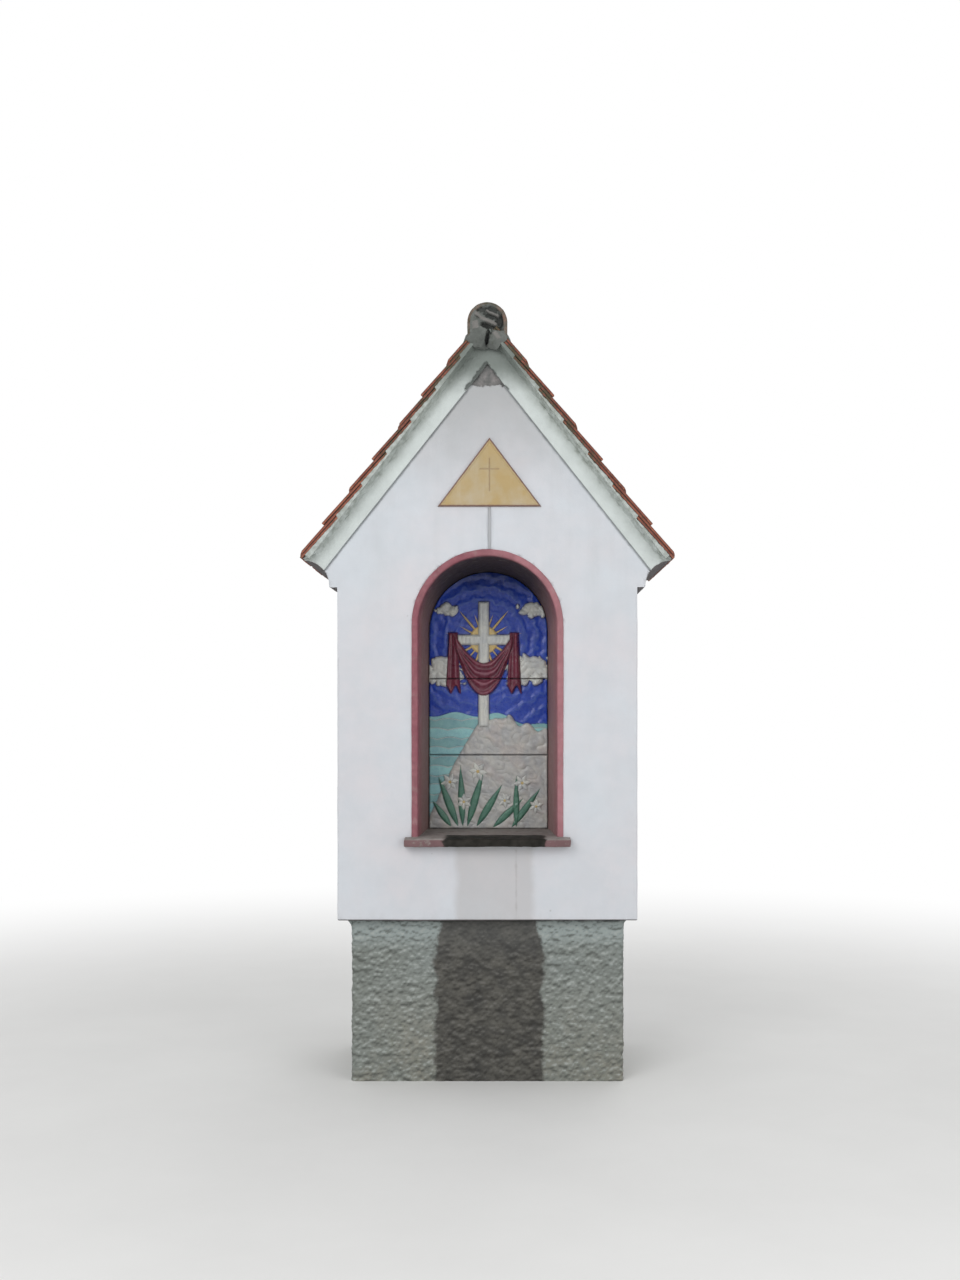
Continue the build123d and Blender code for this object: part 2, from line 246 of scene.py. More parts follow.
class Wiring:
    """Adds nodes to one tree and joins their sockets."""

    def __init__(self, tree):
        self.tree = tree

    def node(self, kind, inputs=None, **settings):
        """A new node, with its settings and inputs filled in."""
        made = self.tree.nodes.new("ShaderNode" + kind)
        for setting, value in settings.items():
            setattr(made, setting, value)
        for socket, value in (inputs or {}).items():
            self.feed(made.inputs[socket], value)
        return made

    def feed(self, socket, value):
        """Joins a socket to another one, or gives it a constant."""
        if isinstance(value, bpy.types.NodeSocket):
            self.tree.links.new(value, socket)
        elif socket.type == "RGBA" and len(value) == 3:
            socket.default_value = (*value, 1.0)
        else:
            socket.default_value = value

    def maths(self, operation, *values):
        return self.node("Math", dict(enumerate(values)), operation=operation).outputs[0]

    def times(self, first, second):
        return self.maths("MULTIPLY", first, second)

    def plus(self, first, second):
        return self.maths("ADD", first, second)

    def minus(self, first, second):
        return self.maths("SUBTRACT", first, second)

    def remap(self, value, low, high, to_low=0.0, to_high=1.0, smooth=False):
        kind = "SMOOTHSTEP" if smooth else "LINEAR"
        ranges = {"Value": value, "From Min": low, "From Max": high, "To Min": to_low, "To Max": to_high}
        return self.node("MapRange", ranges, interpolation_type=kind).outputs[0]

    def mix(self, factor, first, second, blend="MIX"):
        inputs = {0: factor, 6: first, 7: second}
        return self.node("Mix", inputs, data_type="RGBA", blend_type=blend).outputs[2]

    def coat(self, tone, colour, mask, share):
        """Lays a colour over a tone where the mask shows it, up to a share."""
        return self.mix(self.times(mask, share), tone, colour)

    def noise(self, vector, scale, detail=3.0, roughness=0.55):
        inputs = {"Vector": vector, "Scale": scale, "Detail": detail, "Roughness": roughness}
        return self.node("TexNoise", inputs).outputs["Fac"]

    def wander(self, vector, reach, scale, detail=3.0, roughness=0.55):
        """Noise on both sides of nothing, over a reach."""
        return self.times(self.minus(self.noise(vector, scale, detail, roughness), 0.5), reach)

    def dullness(self, vector, scale, low, high):
        """Roughness that drifts between two values."""
        return self.remap(self.noise(vector, scale), 0.3, 0.7, low, high)

    def place(self):
        return self.node("TexCoord").outputs["Object"]

    def axes(self, vector):
        return self.node("SeparateXYZ", {0: vector}).outputs

    def facing(self):
        """How far a surface faces up."""
        return self.axes(self.node("NewGeometry").outputs["Normal"])[2]

    def seen(self):
        """One for rays from the camera or a mirror, zero for those that only carry light."""
        path = self.node("LightPath").outputs
        seen = self.maths("MAXIMUM", path["Is Camera Ray"], path["Is Glossy Ray"])
        return self.maths("MAXIMUM", seen, path["Is Transmission Ray"])

    def stored(self, name, socket="Fac"):
        """A value that was stored on the points of a mesh."""
        return self.node("Attribute", attribute_name=name).outputs[socket]

    def effect(self, name, inputs):
        made = self.tree.nodes.new("ShaderNodeGroup")
        made.node_tree = effect_tree(name)
        for socket, value in inputs.items():
            self.feed(made.inputs[socket], value)
        return made.outputs[0]

    def mottle(self, base, tint, scale, amount, offset=0.0):
        inputs = {"Base": base, "Tint": tint, "Scale": scale, "Amount": amount, "Offset": offset}
        return self.effect("Mottle", inputs)

    def moss(self, scale, cover, upward):
        return self.effect("Moss", {"Scale": scale, "Cover": cover, "Upward": upward})

    def grain(self, scale, pits):
        return self.effect("Grain", {"Scale": scale, "Pits": pits})

    def damp_patch(self, centre, half_width, levels, ragged, soft):
        inputs = {"Centre": centre, "Half Width": half_width, "Bottom": levels[0], "Top": levels[1]}
        return self.effect("Damp Patch", {**inputs, "Ragged": ragged, "Soft Edge": soft})


def mottle_effect(wiring, start):
    """Two colours drifting into each other in soft patches."""
    offset = wiring.node("VectorMath", {0: wiring.place(), 1: start["Offset"]}, operation="ADD")
    cloud = wiring.noise(offset.outputs[0], start["Scale"], 5.0, 0.6)
    share = wiring.times(wiring.remap(cloud, 0.36, 0.64), start["Amount"])
    return wiring.mix(share, start["Base"], start["Tint"])


def streaks_effect(wiring, start):
    """Runs of dirt that follow the rain down a wall."""
    x, y, z = wiring.axes(wiring.place())
    drawn = wiring.node("CombineXYZ", {0: x, 1: y, 2: wiring.times(z, start["Stretch"])})
    runs = wiring.noise(drawn.outputs[0], start["Scale"], 4.0, 0.6)
    top = wiring.plus(start["Threshold"], start["Softness"])
    return wiring.remap(runs, start["Threshold"], top)


def damp_patch_effect(wiring, start):
    """A ragged upright patch on the front, where water runs."""
    place = wiring.place()
    x, y, z = wiring.axes(place)
    wander = wiring.wander(place, start["Ragged"], 9.0, 6.0, 0.65)
    across = wiring.maths("ABSOLUTE", wiring.minus(x, start["Centre"]))
    inside = wiring.minus(wiring.plus(start["Half Width"], wander), across)
    above = wiring.minus(wiring.minus(z, start["Bottom"]), wander)
    below = wiring.minus(wiring.plus(start["Top"], wander), z)
    least = wiring.maths("MINIMUM", inside, wiring.maths("MINIMUM", above, below))
    patch = wiring.remap(least, 0.0, start["Soft Edge"], smooth=True)
    return wiring.times(patch, wiring.remap(y, -0.30, -0.32))


def moss_effect(wiring, start):
    """Growth in patches, thicker where a surface faces up."""
    patches = wiring.noise(wiring.place(), start["Scale"], 7.0, 0.68)
    lift = wiring.times(wiring.remap(wiring.facing(), -0.2, 1.0), start["Upward"])
    cover = wiring.plus(wiring.plus(patches, lift), start["Cover"])
    return wiring.remap(cover, 0.52, 0.66, smooth=True)


def grain_effect(wiring, start):
    """Fine sand grain with a few pits, as a height."""
    place = wiring.place()
    sand = wiring.noise(place, start["Scale"], 6.0, 0.7)
    drift = wiring.noise(place, wiring.times(start["Scale"], 0.16), 3.0, 0.5)
    pits = wiring.node("TexVoronoi", {"Vector": place, "Scale": start["Scale"]}).outputs["Distance"]
    pits = wiring.times(wiring.remap(pits, 0.0, 0.22), start["Pits"])
    return wiring.plus(wiring.plus(sand, wiring.times(drift, 0.8)), pits)


def broken_corners(wiring, start):
    """How far each place stands out from its surroundings, broken up by noise."""
    standing = wiring.node("NewGeometry").outputs["Pointiness"]
    return wiring.plus(standing, wiring.wander(wiring.place(), start["Break Up"], start["Scale"], 5.0, 0.6))


def edge_wear_effect(wiring, start):
    """Where corners stand out and have rubbed or weathered."""
    full = wiring.plus(start["Threshold"], 0.05)
    return wiring.remap(broken_corners(wiring, start), start["Threshold"], full)


def hollow_shade_effect(wiring, start):
    """Painted shade: darker where a rough face lies in a hollow."""
    full = wiring.minus(start["Threshold"], 0.05)
    return wiring.remap(broken_corners(wiring, start), start["Threshold"], full)


def band_shadow_effect(wiring, start):
    """Painted shadow: a dark line on the gables, just below the raking bands."""
    place = wiring.place()
    x, y, z = wiring.axes(place)
    fall = wiring.times(wiring.maths("ABSOLUTE", x), start["Fall"])
    below = wiring.minus(wiring.minus(start["Apex"], fall), z)
    below = wiring.plus(below, wiring.wander(place, start["Width"], 40.0, 5.0))
    line = wiring.remap(below, start["Width"], wiring.times(start["Width"], 0.4))
    return wiring.times(line, wiring.remap(wiring.maths("ABSOLUTE", y), 0.392, 0.396))


WHITE = (1.0, 1.0, 1.0, 1.0)
# What draws each effect, what it puts out, and its inputs with their defaults
EFFECTS = {
    "Mottle": (
        mottle_effect,
        "Colour",
        {"Base": WHITE, "Tint": WHITE, "Scale": 4.0, "Amount": 1.0, "Offset": 0.0},
    ),
    "Streaks": (
        streaks_effect,
        "Mask",
        {"Scale": 14.0, "Stretch": 0.08, "Threshold": 0.5, "Softness": 0.2},
    ),
    "Damp Patch": (
        damp_patch_effect,
        "Mask",
        {"Centre": 0.0, "Half Width": 0.2, "Bottom": 0.0, "Top": 1.0, "Ragged": 0.05, "Soft Edge": 0.02},
    ),
    "Moss": (moss_effect, "Mask", {"Scale": 18.0, "Cover": 0.0, "Upward": 0.1}),
    "Grain": (grain_effect, "Height", {"Scale": 260.0, "Pits": 0.15}),
    "Edge Wear": (edge_wear_effect, "Mask", {"Scale": 40.0, "Threshold": 0.53, "Break Up": 0.12}),
    "Hollow Shade": (hollow_shade_effect, "Mask", {"Scale": 60.0, "Threshold": 0.49, "Break Up": 0.06}),
    "Seam": (band_shadow_effect, "Mask", {"Apex": 2.88, "Fall": 1.26, "Width": 0.015}),
}


def effect_tree(name):
    """The shader node group of an effect, with named inputs and one output, built once."""
    if name in bpy.data.node_groups:
        return bpy.data.node_groups[name]
    draw, result, sockets = EFFECTS[name]
    tree = bpy.data.node_groups.new(name, "ShaderNodeTree")
    for label, value in sockets.items():
        kind = "NodeSocketColor" if isinstance(value, tuple) else "NodeSocketFloat"
        socket = tree.interface.new_socket(label, in_out="INPUT", socket_type=kind)
        socket.default_value = value
    kind = "NodeSocketColor" if result == "Colour" else "NodeSocketFloat"
    tree.interface.new_socket(result, in_out="OUTPUT", socket_type=kind)
    wiring = Wiring(tree)
    start = tree.nodes.new("NodeGroupInput").outputs
    end = tree.nodes.new("NodeGroupOutput")
    wiring.feed(end.inputs[0], draw(wiring, start))
    return tree


# Finishes


class Finish(Wiring):
    """An empty material with its shader, and the wiring to fill it."""

    def __init__(self, name):
        material = bpy.data.materials.new(name)
        material.use_nodes = True
        material.node_tree.nodes.clear()
        super().__init__(material.node_tree)
        self.shader = self.node("BsdfPrincipled")
        self.output = self.node("OutputMaterial", {"Surface": self.shader.outputs[0]})
        self.colours = bpy.context.scene.shrine_colours

    def settle(self, tone, rough, height, distance, strength, specular=0.5):
        """Feeds the shader its colour, roughness and fine relief, from a height in metres."""
        bump = self.node("Bump", {"Strength": strength, "Distance": distance, "Height": height})
        self.feed(self.shader.inputs["Base Color"], tone)
        self.feed(self.shader.inputs["Roughness"], rough)
        self.feed(self.shader.inputs["Normal"], bump.outputs[0])
        self.shader.inputs["Specular IOR Level"].default_value = specular


def finish(name, fill, *values):
    """The material of this name, filled in when it is first asked for."""
    if name not in bpy.data.materials:
        fill(Finish(name), *values)
    return bpy.data.materials[name]


def white_render(wiring):
    """Cool white hand-floated render, stained under the sill and bare at the gable's tip, with painted shade
    on faces turned down and under the raking bands.
    """
    colours = wiring.colours
    tone = wiring.mottle(colours.wall, colours.wall_tint, 2.6, 0.8, 3.0)
    dusty = [value * 0.90 for value in colours.wall]
    tone = wiring.mottle(tone, dusty, 11.0, 0.45)
    place = wiring.place()
    z = wiring.axes(place)[2]
    runs = wiring.effect("Streaks", {"Scale": 11.0, "Threshold": 0.50, "Softness": 0.30})
    under_eaves = wiring.remap(z, 1.70, 2.05, smooth=True)
    runs_share = wiring.times(runs, wiring.times(under_eaves, 0.13))
    tone = wiring.mix(runs_share, tone, (0.36, 0.38, 0.37))
    drift = wiring.wander(place, 0.20, 7.0)
    tip = wiring.remap(wiring.plus(z, drift), 2.28, 2.80, smooth=True)
    tone = wiring.coat(tone, (0.330, 0.332, 0.325), tip, 0.64)
    # Painted shadow: a dark line along the lower edge of the raking bands
    band_shadow = wiring.effect("Seam", {"Apex": BAND_INNER_APEX, "Fall": BAND_FALL, "Width": 0.017})
    tone = wiring.coat(tone, (0.150, 0.160, 0.165), band_shadow, 0.62)
    groove = wiring.damp_patch(PLAQUE_SHIFT, 0.0078, (2.12, PLAQUE_LEVEL), 0.004, 0.002)
    tone = wiring.coat(tone, (0.330, 0.335, 0.345), groove, 0.70)
    stain = wiring.damp_patch(0.030, 0.174, (0.60, 0.97), 0.045, 0.040)
    tone = wiring.coat(tone, (0.400, 0.370, 0.355), stain, 0.40)
    drip = wiring.damp_patch(0.115, 0.007, (0.64, 0.94), 0.03, 0.009)
    tone = wiring.coat(tone, (0.30, 0.285, 0.28), drip, 0.40)
    splash = wiring.effect("Streaks", {"Scale": 30.0, "Stretch": 0.5, "Threshold": 0.45})
    low = wiring.times(wiring.remap(z, 0.70, 0.655), splash)
    tone = wiring.coat(tone, (0.30, 0.30, 0.26), low, 0.12)
    specks = wiring.node("TexVoronoi", {"Vector": place, "Scale": 5.0, "Randomness": 1.0})
    dots = wiring.remap(specks.outputs["Distance"], 0.030, 0.018)
    tone = wiring.coat(tone, (0.30, 0.30, 0.28), dots, 0.4)
    # Painted shade: faces turned down, under the eaves and at the foot of the body, are darkened to brown
    # black
    facing = wiring.facing()
    clear = wiring.remap(wiring.maths("ABSOLUTE", wiring.axes(place)[0]), 0.42, 0.46)
    clear = wiring.maths("MAXIMUM", clear, wiring.remap(z, 0.90, 0.85))
    underside = wiring.times(wiring.remap(facing, -0.12, -0.55), clear)
    tone = wiring.coat(tone, (0.060, 0.043, 0.040), underside, 0.88)
    bare = wiring.stored("bare")
    cement = wiring.mottle((0.120, 0.126, 0.123), (0.275, 0.258, 0.254), 30.0, 0.9)
    tone = wiring.mix(bare, tone, cement)
    matt = wiring.dullness(place, 30.0, 0.78, 0.94)
    grain = wiring.grain(240.0, 0.12)
    rubble = wiring.times(wiring.noise(place, 70.0, 4.0), bare)
    height = wiring.plus(grain, wiring.times(rubble, 3.0))
    wiring.settle(tone, matt, height, 0.0009, 0.7, 0.3)


def band_render(wiring):
    """Greenish white render of the raking bands, with algae towards the tiles."""
    colours = wiring.colours
    pale = [value * 0.88 for value in colours.band]
    tone = wiring.mottle(colours.band, pale, 12.0, 0.8)
    place = wiring.place()
    x, _, z = wiring.axes(place)
    fall = wiring.times(wiring.maths("ABSOLUTE", x), tan(PITCH))
    drop = wiring.minus(wiring.minus(DECK_APEX, fall), z)
    drop = wiring.times(drop, cos(PITCH))
    wander = wiring.wander(place, 0.05, 26.0, 6.0)
    drop = wiring.plus(drop, wander)
    outer = wiring.remap(drop, 0.056, 0.012, smooth=True)
    outer_share = wiring.times(outer, wiring.remap(z, 2.05, 2.70, 0.10, 0.40))
    tone = wiring.mix(outer_share, tone, colours.algae)
    # The pointing right under the tiles is darkened further: growth on it, and painted shade under the tile
    # overhang
    pointing = wiring.times(wiring.remap(drop, 0.024, 0.006, smooth=True), 0.66)
    clots = wiring.remap(wiring.noise(place, 38.0, 6.0, 0.62), 0.34, 0.62)
    tone = wiring.coat(tone, (0.215, 0.240, 0.205), pointing, clots)
    apex = wiring.remap(wiring.plus(z, wander), 2.74, 2.88, smooth=True)
    tone = wiring.coat(tone, (0.165, 0.188, 0.172), apex, 0.90)
    growth = wiring.moss(34.0, -0.06, 0.04)
    growth_share = wiring.plus(wiring.times(outer_share, 0.7), 0.04)
    tone = wiring.coat(tone, (0.17, 0.19, 0.14), growth, growth_share)
    bare = wiring.stored("bare")
    tone = wiring.coat(tone, (0.100, 0.112, 0.105), bare, 0.9)
    matt = wiring.dullness(place, 30.0, 0.78, 0.95)
    grain = wiring.grain(200.0, 0.2)
    lumps = wiring.times(wiring.noise(place, 60.0, 4.0), wiring.times(outer, 3.0))
    wiring.settle(tone, matt, wiring.plus(grain, lumps), 0.0012, 0.8, 0.3)


def cement_render(wiring):
    """Grey rough-cast, wet and dark in the middle of the front."""
    colours = wiring.colours
    place = wiring.place()
    z = wiring.axes(place)[2]
    low = wiring.remap(z, 0.48, 0.04)
    warm = wiring.mix(low, (0.255, 0.285, 0.275), (0.270, 0.250, 0.200))
    tone = wiring.mottle(colours.cement, warm, 5.0, 0.8)
    dark = [value * 0.70 for value in colours.cement]
    tone = wiring.mottle(tone, dark, 34.0, 0.6, 2.0)
    green = wiring.moss(12.0, -0.06, 0.1)
    green_share = wiring.times(green, wiring.times(low, 0.30))
    tone = wiring.mix(green_share, tone, (0.15, 0.17, 0.10))
    # Painted light and shade: lump tops are lighter, their undersides and hollows darker
    lit = wiring.stored("lit")
    crown = wiring.remap(lit, 0.06, 0.62)
    pit_shade = wiring.effect("Hollow Shade", {"Scale": 50.0, "Threshold": 0.490, "Break Up": 0.06})
    pit_shade = wiring.maths("MAXIMUM", wiring.times(pit_shade, 0.6), wiring.remap(lit, -0.08, -0.66))
    upper = wiring.times(wiring.remap(z, 0.51, 0.62, smooth=True), 0.72)
    dry = wiring.mix(upper, tone, (0.360, 0.415, 0.410))
    dry = wiring.coat(dry, (0.415, 0.445, 0.425), crown, 0.66)
    dry = wiring.coat(dry, (0.080, 0.086, 0.077), pit_shade, 0.72)
    half_width = wiring.remap(z, 0.56, 0.64, 0.227, 0.202, smooth=True)
    wet = wiring.damp_patch(0.008, half_width, (-0.2, 0.9), 0.095, 0.020)
    soaked = wiring.mottle(colours.damp, (0.100, 0.096, 0.083), 14.0, 0.9, 5.0)
    soaked = wiring.coat(soaked, (0.160, 0.156, 0.143), crown, 0.50)
    soaked = wiring.coat(soaked, (0.024, 0.023, 0.020), pit_shade, 0.72)
    drier = wiring.times(wiring.remap(z, 0.44, 0.66, smooth=True), 0.28)
    soaked = wiring.mix(drier, soaked, (0.140, 0.145, 0.145))
    tone = wiring.mix(wet, dry, soaked)
    ragged = wiring.wander(place, 0.022, 22.0, 4.0)
    shadow = wiring.remap(wiring.plus(z, ragged), 0.641, 0.649)
    tone = wiring.coat(tone, (0.030, 0.032, 0.030), shadow, 0.85)
    matt = wiring.dullness(place, 40.0, 0.82, 0.97)
    rough = wiring.minus(matt, wiring.times(wet, 0.25))
    grain = wiring.grain(170.0, 0.3)
    wiring.settle(tone, rough, grain, 0.0022, 0.9, 0.35)


def red_paint(wiring, worn, wet):
    """Dull red masonry paint. worn bares the cement, and wet darkens the middle of the sill."""
    colours = wiring.colours
    faded = (0.400, 0.200, 0.215)
    tone = wiring.mottle(colours.red, faded, 9.0, 0.45)
    deep = [value * 0.62 for value in colours.red]
    tone = wiring.mottle(tone, deep, 34.0, 0.5, 1.0)
    place = wiring.place()
    x, y = wiring.axes(place)[:2]
    # Painted light: deeper in the niche the paint turns to a lighter brownish tone
    inner = wiring.remap(y, -0.395, -0.20, smooth=True)
    tone = wiring.coat(tone, (0.240, 0.178, 0.160), inner, 0.70)
    # Painted light: the right side of the surround is mixed lighter than the left
    right_side_light = wiring.times(wiring.remap(x, -0.12, 0.24, smooth=True), 0.0 if wet else 0.22)
    tone = wiring.mix(right_side_light, tone, (0.660, 0.360, 0.380))
    runs = wiring.effect("Streaks", {"Scale": 22.0, "Threshold": 0.50, "Softness": 0.22})
    tone = wiring.coat(tone, (0.130, 0.080, 0.080), runs, 0.22)
    facing = wiring.facing()
    # Painted shade: faces turned down inside the niche are darkened almost to black
    painted_arch_shade = wiring.times(wiring.remap(facing, -0.05, -0.75), wiring.remap(y, -0.40, -0.37))
    tone = wiring.coat(tone, (0.036, 0.036, 0.040), painted_arch_shade, 0.90)
    top = wiring.remap(facing, 0.35, 0.8)
    rubbed = wiring.effect("Edge Wear", {"Scale": 30.0, "Threshold": 0.56, "Break Up": 0.20})
    flakes = wiring.remap(wiring.noise(place, 24.0, 8.0, 0.7), 0.56, 0.60)
    bare = wiring.maths("MAXIMUM", rubbed, wiring.times(flakes, 0.7))
    bare = wiring.times(bare, worn)
    if wet:
        tone = wiring.mix(0.60, tone, (0.112, 0.103, 0.096))
        bare = wiring.maths("MAXIMUM", bare, wiring.times(top, 0.9))
    cement = wiring.mottle((0.330, 0.310, 0.290), (0.205, 0.185, 0.172), 30.0, 0.8)
    tone = wiring.mix(bare, tone, cement)
    rough = wiring.dullness(place, 50.0, 0.62, 0.82)
    if wet:
        soaked = wiring.damp_patch(0.034, 0.212, (0.9, 1.2), 0.16, 0.022)
        soaked_tone = wiring.mottle((0.011, 0.010, 0.008), (0.034, 0.031, 0.026), 26.0, 0.8)
        tone = wiring.mix(soaked, tone, soaked_tone)
        rough = wiring.minus(rough, wiring.times(soaked, 0.12))
    grain = wiring.grain(210.0, 0.2)
    height = wiring.minus(grain, wiring.times(bare, 0.6))
    wiring.settle(tone, rough, height, 0.0009, 0.8, 0.14 if wet else 0.25)


def glazed_relief(wiring):
    """Glossy coloured glaze over the modelled slabs, with crackle and dirt in the hollows."""
    glaze = wiring.stored("glaze", "Color")
    place = wiring.place()
    deeper = wiring.mix(1.0, glaze, (0.66, 0.70, 0.80), "MULTIPLY")
    tone = wiring.mottle(glaze, deeper, 22.0, 0.75)
    paler = wiring.mix(0.18, glaze, (0.52, 0.66, 0.76))
    tone = wiring.mottle(tone, paler, 75.0, 0.30, 4.0)
    cracks = wiring.node("TexVoronoi", {"Vector": place, "Scale": 75.0}, feature="DISTANCE_TO_EDGE")
    lines = wiring.remap(cracks.outputs["Distance"], 0.030, 0.008)
    tone = wiring.coat(tone, (0.10, 0.09, 0.07), lines, 0.10)
    hollow = wiring.stored("hollow")
    tone = wiring.coat(tone, (0.060, 0.060, 0.062), hollow, 0.42)
    # Painted shade under the crown of the arch
    drift = wiring.wander(place, 0.12, 14.0)
    high = wiring.plus(wiring.axes(place)[2], drift)
    painted_arch_shade = wiring.times(wiring.remap(high, 1.97, 2.11, smooth=True), 0.62)
    tone = wiring.mix(painted_arch_shade, tone, (0.012, 0.017, 0.055))
    dust = wiring.moss(30.0, -0.14, 0.18)
    tone = wiring.coat(tone, (0.19, 0.19, 0.17), dust, 0.13)
    gloss = wiring.dullness(place, 40.0, 0.22, 0.42)
    waves = wiring.noise(place, 55.0, 2.0)
    height = wiring.minus(waves, wiring.times(lines, 0.06))
    wiring.settle(tone, wiring.plus(gloss, wiring.times(dust, 0.4)), height, 0.0016, 0.6, 0.35)
    wiring.shader.inputs["Coat Weight"].default_value = 0.12
    wiring.shader.inputs["Coat Roughness"].default_value = 0.12


def ochre_paint(wiring):
    """Ochre limewash on the plaque, with a brown line round its edge."""
    colours = wiring.colours
    z = wiring.axes(wiring.place())[2]
    pale = wiring.mix(wiring.remap(z, 2.50, 2.33), (0.420, 0.335, 0.195), (0.470, 0.400, 0.285))
    tone = wiring.mottle(colours.ochre, pale, 9.0, 0.9)
    runs = wiring.effect("Streaks", {"Scale": 30.0, "Threshold": 0.54, "Softness": 0.2})
    tone = wiring.coat(tone, (0.56, 0.50, 0.40), runs, 0.25)
    edge = wiring.stored("edge")
    tone = wiring.coat(tone, (0.175, 0.095, 0.078), edge, 0.92)
    line = wiring.stored("line")
    tone = wiring.coat(tone, (0.230, 0.150, 0.095), line, 0.50)
    rough = wiring.dullness(wiring.place(), 50.0, 0.66, 0.86)
    wiring.settle(tone, rough, wiring.grain(260.0, 0.2), 0.0007, 0.8)


def roof_tile(wiring):
    """Fired clay, each tile of its own tone, with moss and dirt along the laps."""
    colours = wiring.colours
    tone_mark = wiring.stored("tone")
    dark = (0.170, 0.050, 0.030)
    pale = (0.440, 0.160, 0.085)
    tone = wiring.mix(wiring.remap(tone_mark, 0.0, 0.5), dark, colours.tile)
    tone = wiring.mix(wiring.remap(tone_mark, 0.5, 1.0), tone, pale)
    deep = wiring.mix(1.0, tone, (0.60, 0.52, 0.50), "MULTIPLY")
    tone = wiring.mottle(tone, deep, 24.0, 0.8)
    rubbed = wiring.effect("Edge Wear", {"Scale": 70.0, "Threshold": 0.56, "Break Up": 0.18})
    tone = wiring.coat(tone, (0.50, 0.185, 0.10), rubbed, 0.55)
    place = wiring.place()
    y, z = wiring.axes(place)[1:]
    # Along the verges the upper part of each tile's edge is darker, and a line of painted shade parts the
    # laps
    level = wiring.stored("level")
    verge = wiring.remap(wiring.maths("ABSOLUTE", y), ROOF_HALF_DEPTH - 0.007, ROOF_HALF_DEPTH - 0.003)
    dull = wiring.times(wiring.remap(level, 0.45, 0.90), verge)
    tone = wiring.coat(tone, (0.110, 0.050, 0.042), dull, 0.55)
    lap_shade = wiring.times(wiring.remap(level, 0.22, 0.04), verge)
    tone = wiring.coat(tone, (0.035, 0.022, 0.020), lap_shade, 0.80)
    high = wiring.remap(z, 2.15, 3.0, -0.18, 0.03)
    lap = wiring.remap(wiring.stored("along"), 0.07, 0.17, 0.0, 0.10)
    cover = wiring.plus(high, lap)
    growth = wiring.moss(26.0, cover, 0.13)
    spots = wiring.moss(90.0, -0.08, 0.08)
    tone = wiring.coat(tone, (0.13, 0.125, 0.10), spots, 0.55)
    tone = wiring.coat(tone, colours.moss, growth, 0.86)
    rough = wiring.dullness(place, 60.0, 0.70, 0.92)
    grain = wiring.grain(230.0, 0.25)
    height = wiring.plus(grain, wiring.times(growth, 1.6))
    wiring.settle(tone, rough, height, 0.0011, 0.8)


def ridge_tile(wiring):
    """Old ridge tiles, grey brown and mossy on top."""
    colours = wiring.colours
    tone = wiring.mottle((0.145, 0.135, 0.115), (0.250, 0.105, 0.065), 12.0, 0.7)
    tone = wiring.mottle(tone, (0.080, 0.085, 0.070), 55.0, 0.7, 2.0)
    growth = wiring.moss(22.0, -0.02, 0.13)
    tone = wiring.coat(tone, colours.moss, growth, 0.88)
    pale = wiring.moss(60.0, -0.08, 0.03)
    tone = wiring.coat(tone, (0.30, 0.31, 0.26), pale, 0.45)
    rough = wiring.dullness(wiring.place(), 60.0, 0.78, 0.96)
    height = wiring.plus(wiring.grain(150.0, 0.25), growth)
    wiring.settle(tone, rough, height, 0.0020, 0.9)


def bedding_mortar(wiring):
    """Grey lime mortar with moss, for the ridge and the bed under the tiles."""
    tone = wiring.mottle((0.150, 0.160, 0.150), (0.085, 0.094, 0.086), 16.0, 0.9)
    growth = wiring.moss(30.0, -0.02, 0.08)
    tone = wiring.coat(tone, (0.065, 0.074, 0.055), growth, 0.5)
    pale = wiring.stored("pale")
    tone = wiring.coat(tone, (0.225, 0.210, 0.200), pale, 0.65)
    # Painted shade: the open hollows in the front mortar are darkened almost to black
    hollow = wiring.stored("hollow")
    tone = wiring.coat(tone, (0.010, 0.011, 0.011), hollow, 0.94)
    rough = wiring.dullness(wiring.place(), 60.0, 0.82, 0.97)
    wiring.settle(tone, rough, wiring.grain(140.0, 0.3), 0.0022, 0.9)


def pale_floor(wiring):
    """A pale floor that fades into plain white round the shrine."""
    tone = wiring.mottle((0.80, 0.80, 0.79), (0.76, 0.76, 0.75), 1.5, 0.6)
    wiring.feed(wiring.shader.inputs["Base Color"], tone)
    wiring.shader.inputs["Roughness"].default_value = 0.85
    reach = wiring.node("VectorMath", {0: wiring.place()}, operation="LENGTH").outputs["Value"]
    faded = wiring.times(wiring.remap(reach, 1.6, 6.5, smooth=True), wiring.seen())
    glow = wiring.node("Emission", {"Color": (1.0, 1.0, 1.0), "Strength": 1.0})
    blend = wiring.node("MixShader", {0: faded, 1: wiring.shader.outputs[0], 2: glow.outputs[0]})
    wiring.feed(wiring.output.inputs["Surface"], blend.outputs[0])


# Mesh making


def joined_solids(nodes):
    """A closed mesh in one skin, joined from copies of these CAD nodes."""
    scene = bpy.context.scene
    base = None
    for node in nodes:
        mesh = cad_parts[node].data.copy()
        welded = bmesh.new()
        welded.from_mesh(mesh)
        bmesh.ops.remove_doubles(welded, verts=welded.verts, dist=1e-5)
        welded.to_mesh(mesh)
        welded.free()
        piece = bpy.data.objects.new("joining", mesh)
        scene.collection.objects.link(piece)
        if base is None:
            base = piece
            continue
        join = base.modifiers.new("Join", "BOOLEAN")
        join.operation = "UNION"
        join.solver = "EXACT"
        join.object = piece
        settled = base.evaluated_get(bpy.context.evaluated_depsgraph_get())
        result = bpy.data.meshes.new_from_object(settled)
        base.modifiers.clear()
        base.data = result
        bpy.data.objects.remove(piece)
    skin = bmesh.new()
    skin.from_mesh(base.data)
    bpy.data.objects.remove(base)
    tidy_skin(skin)
    return skin


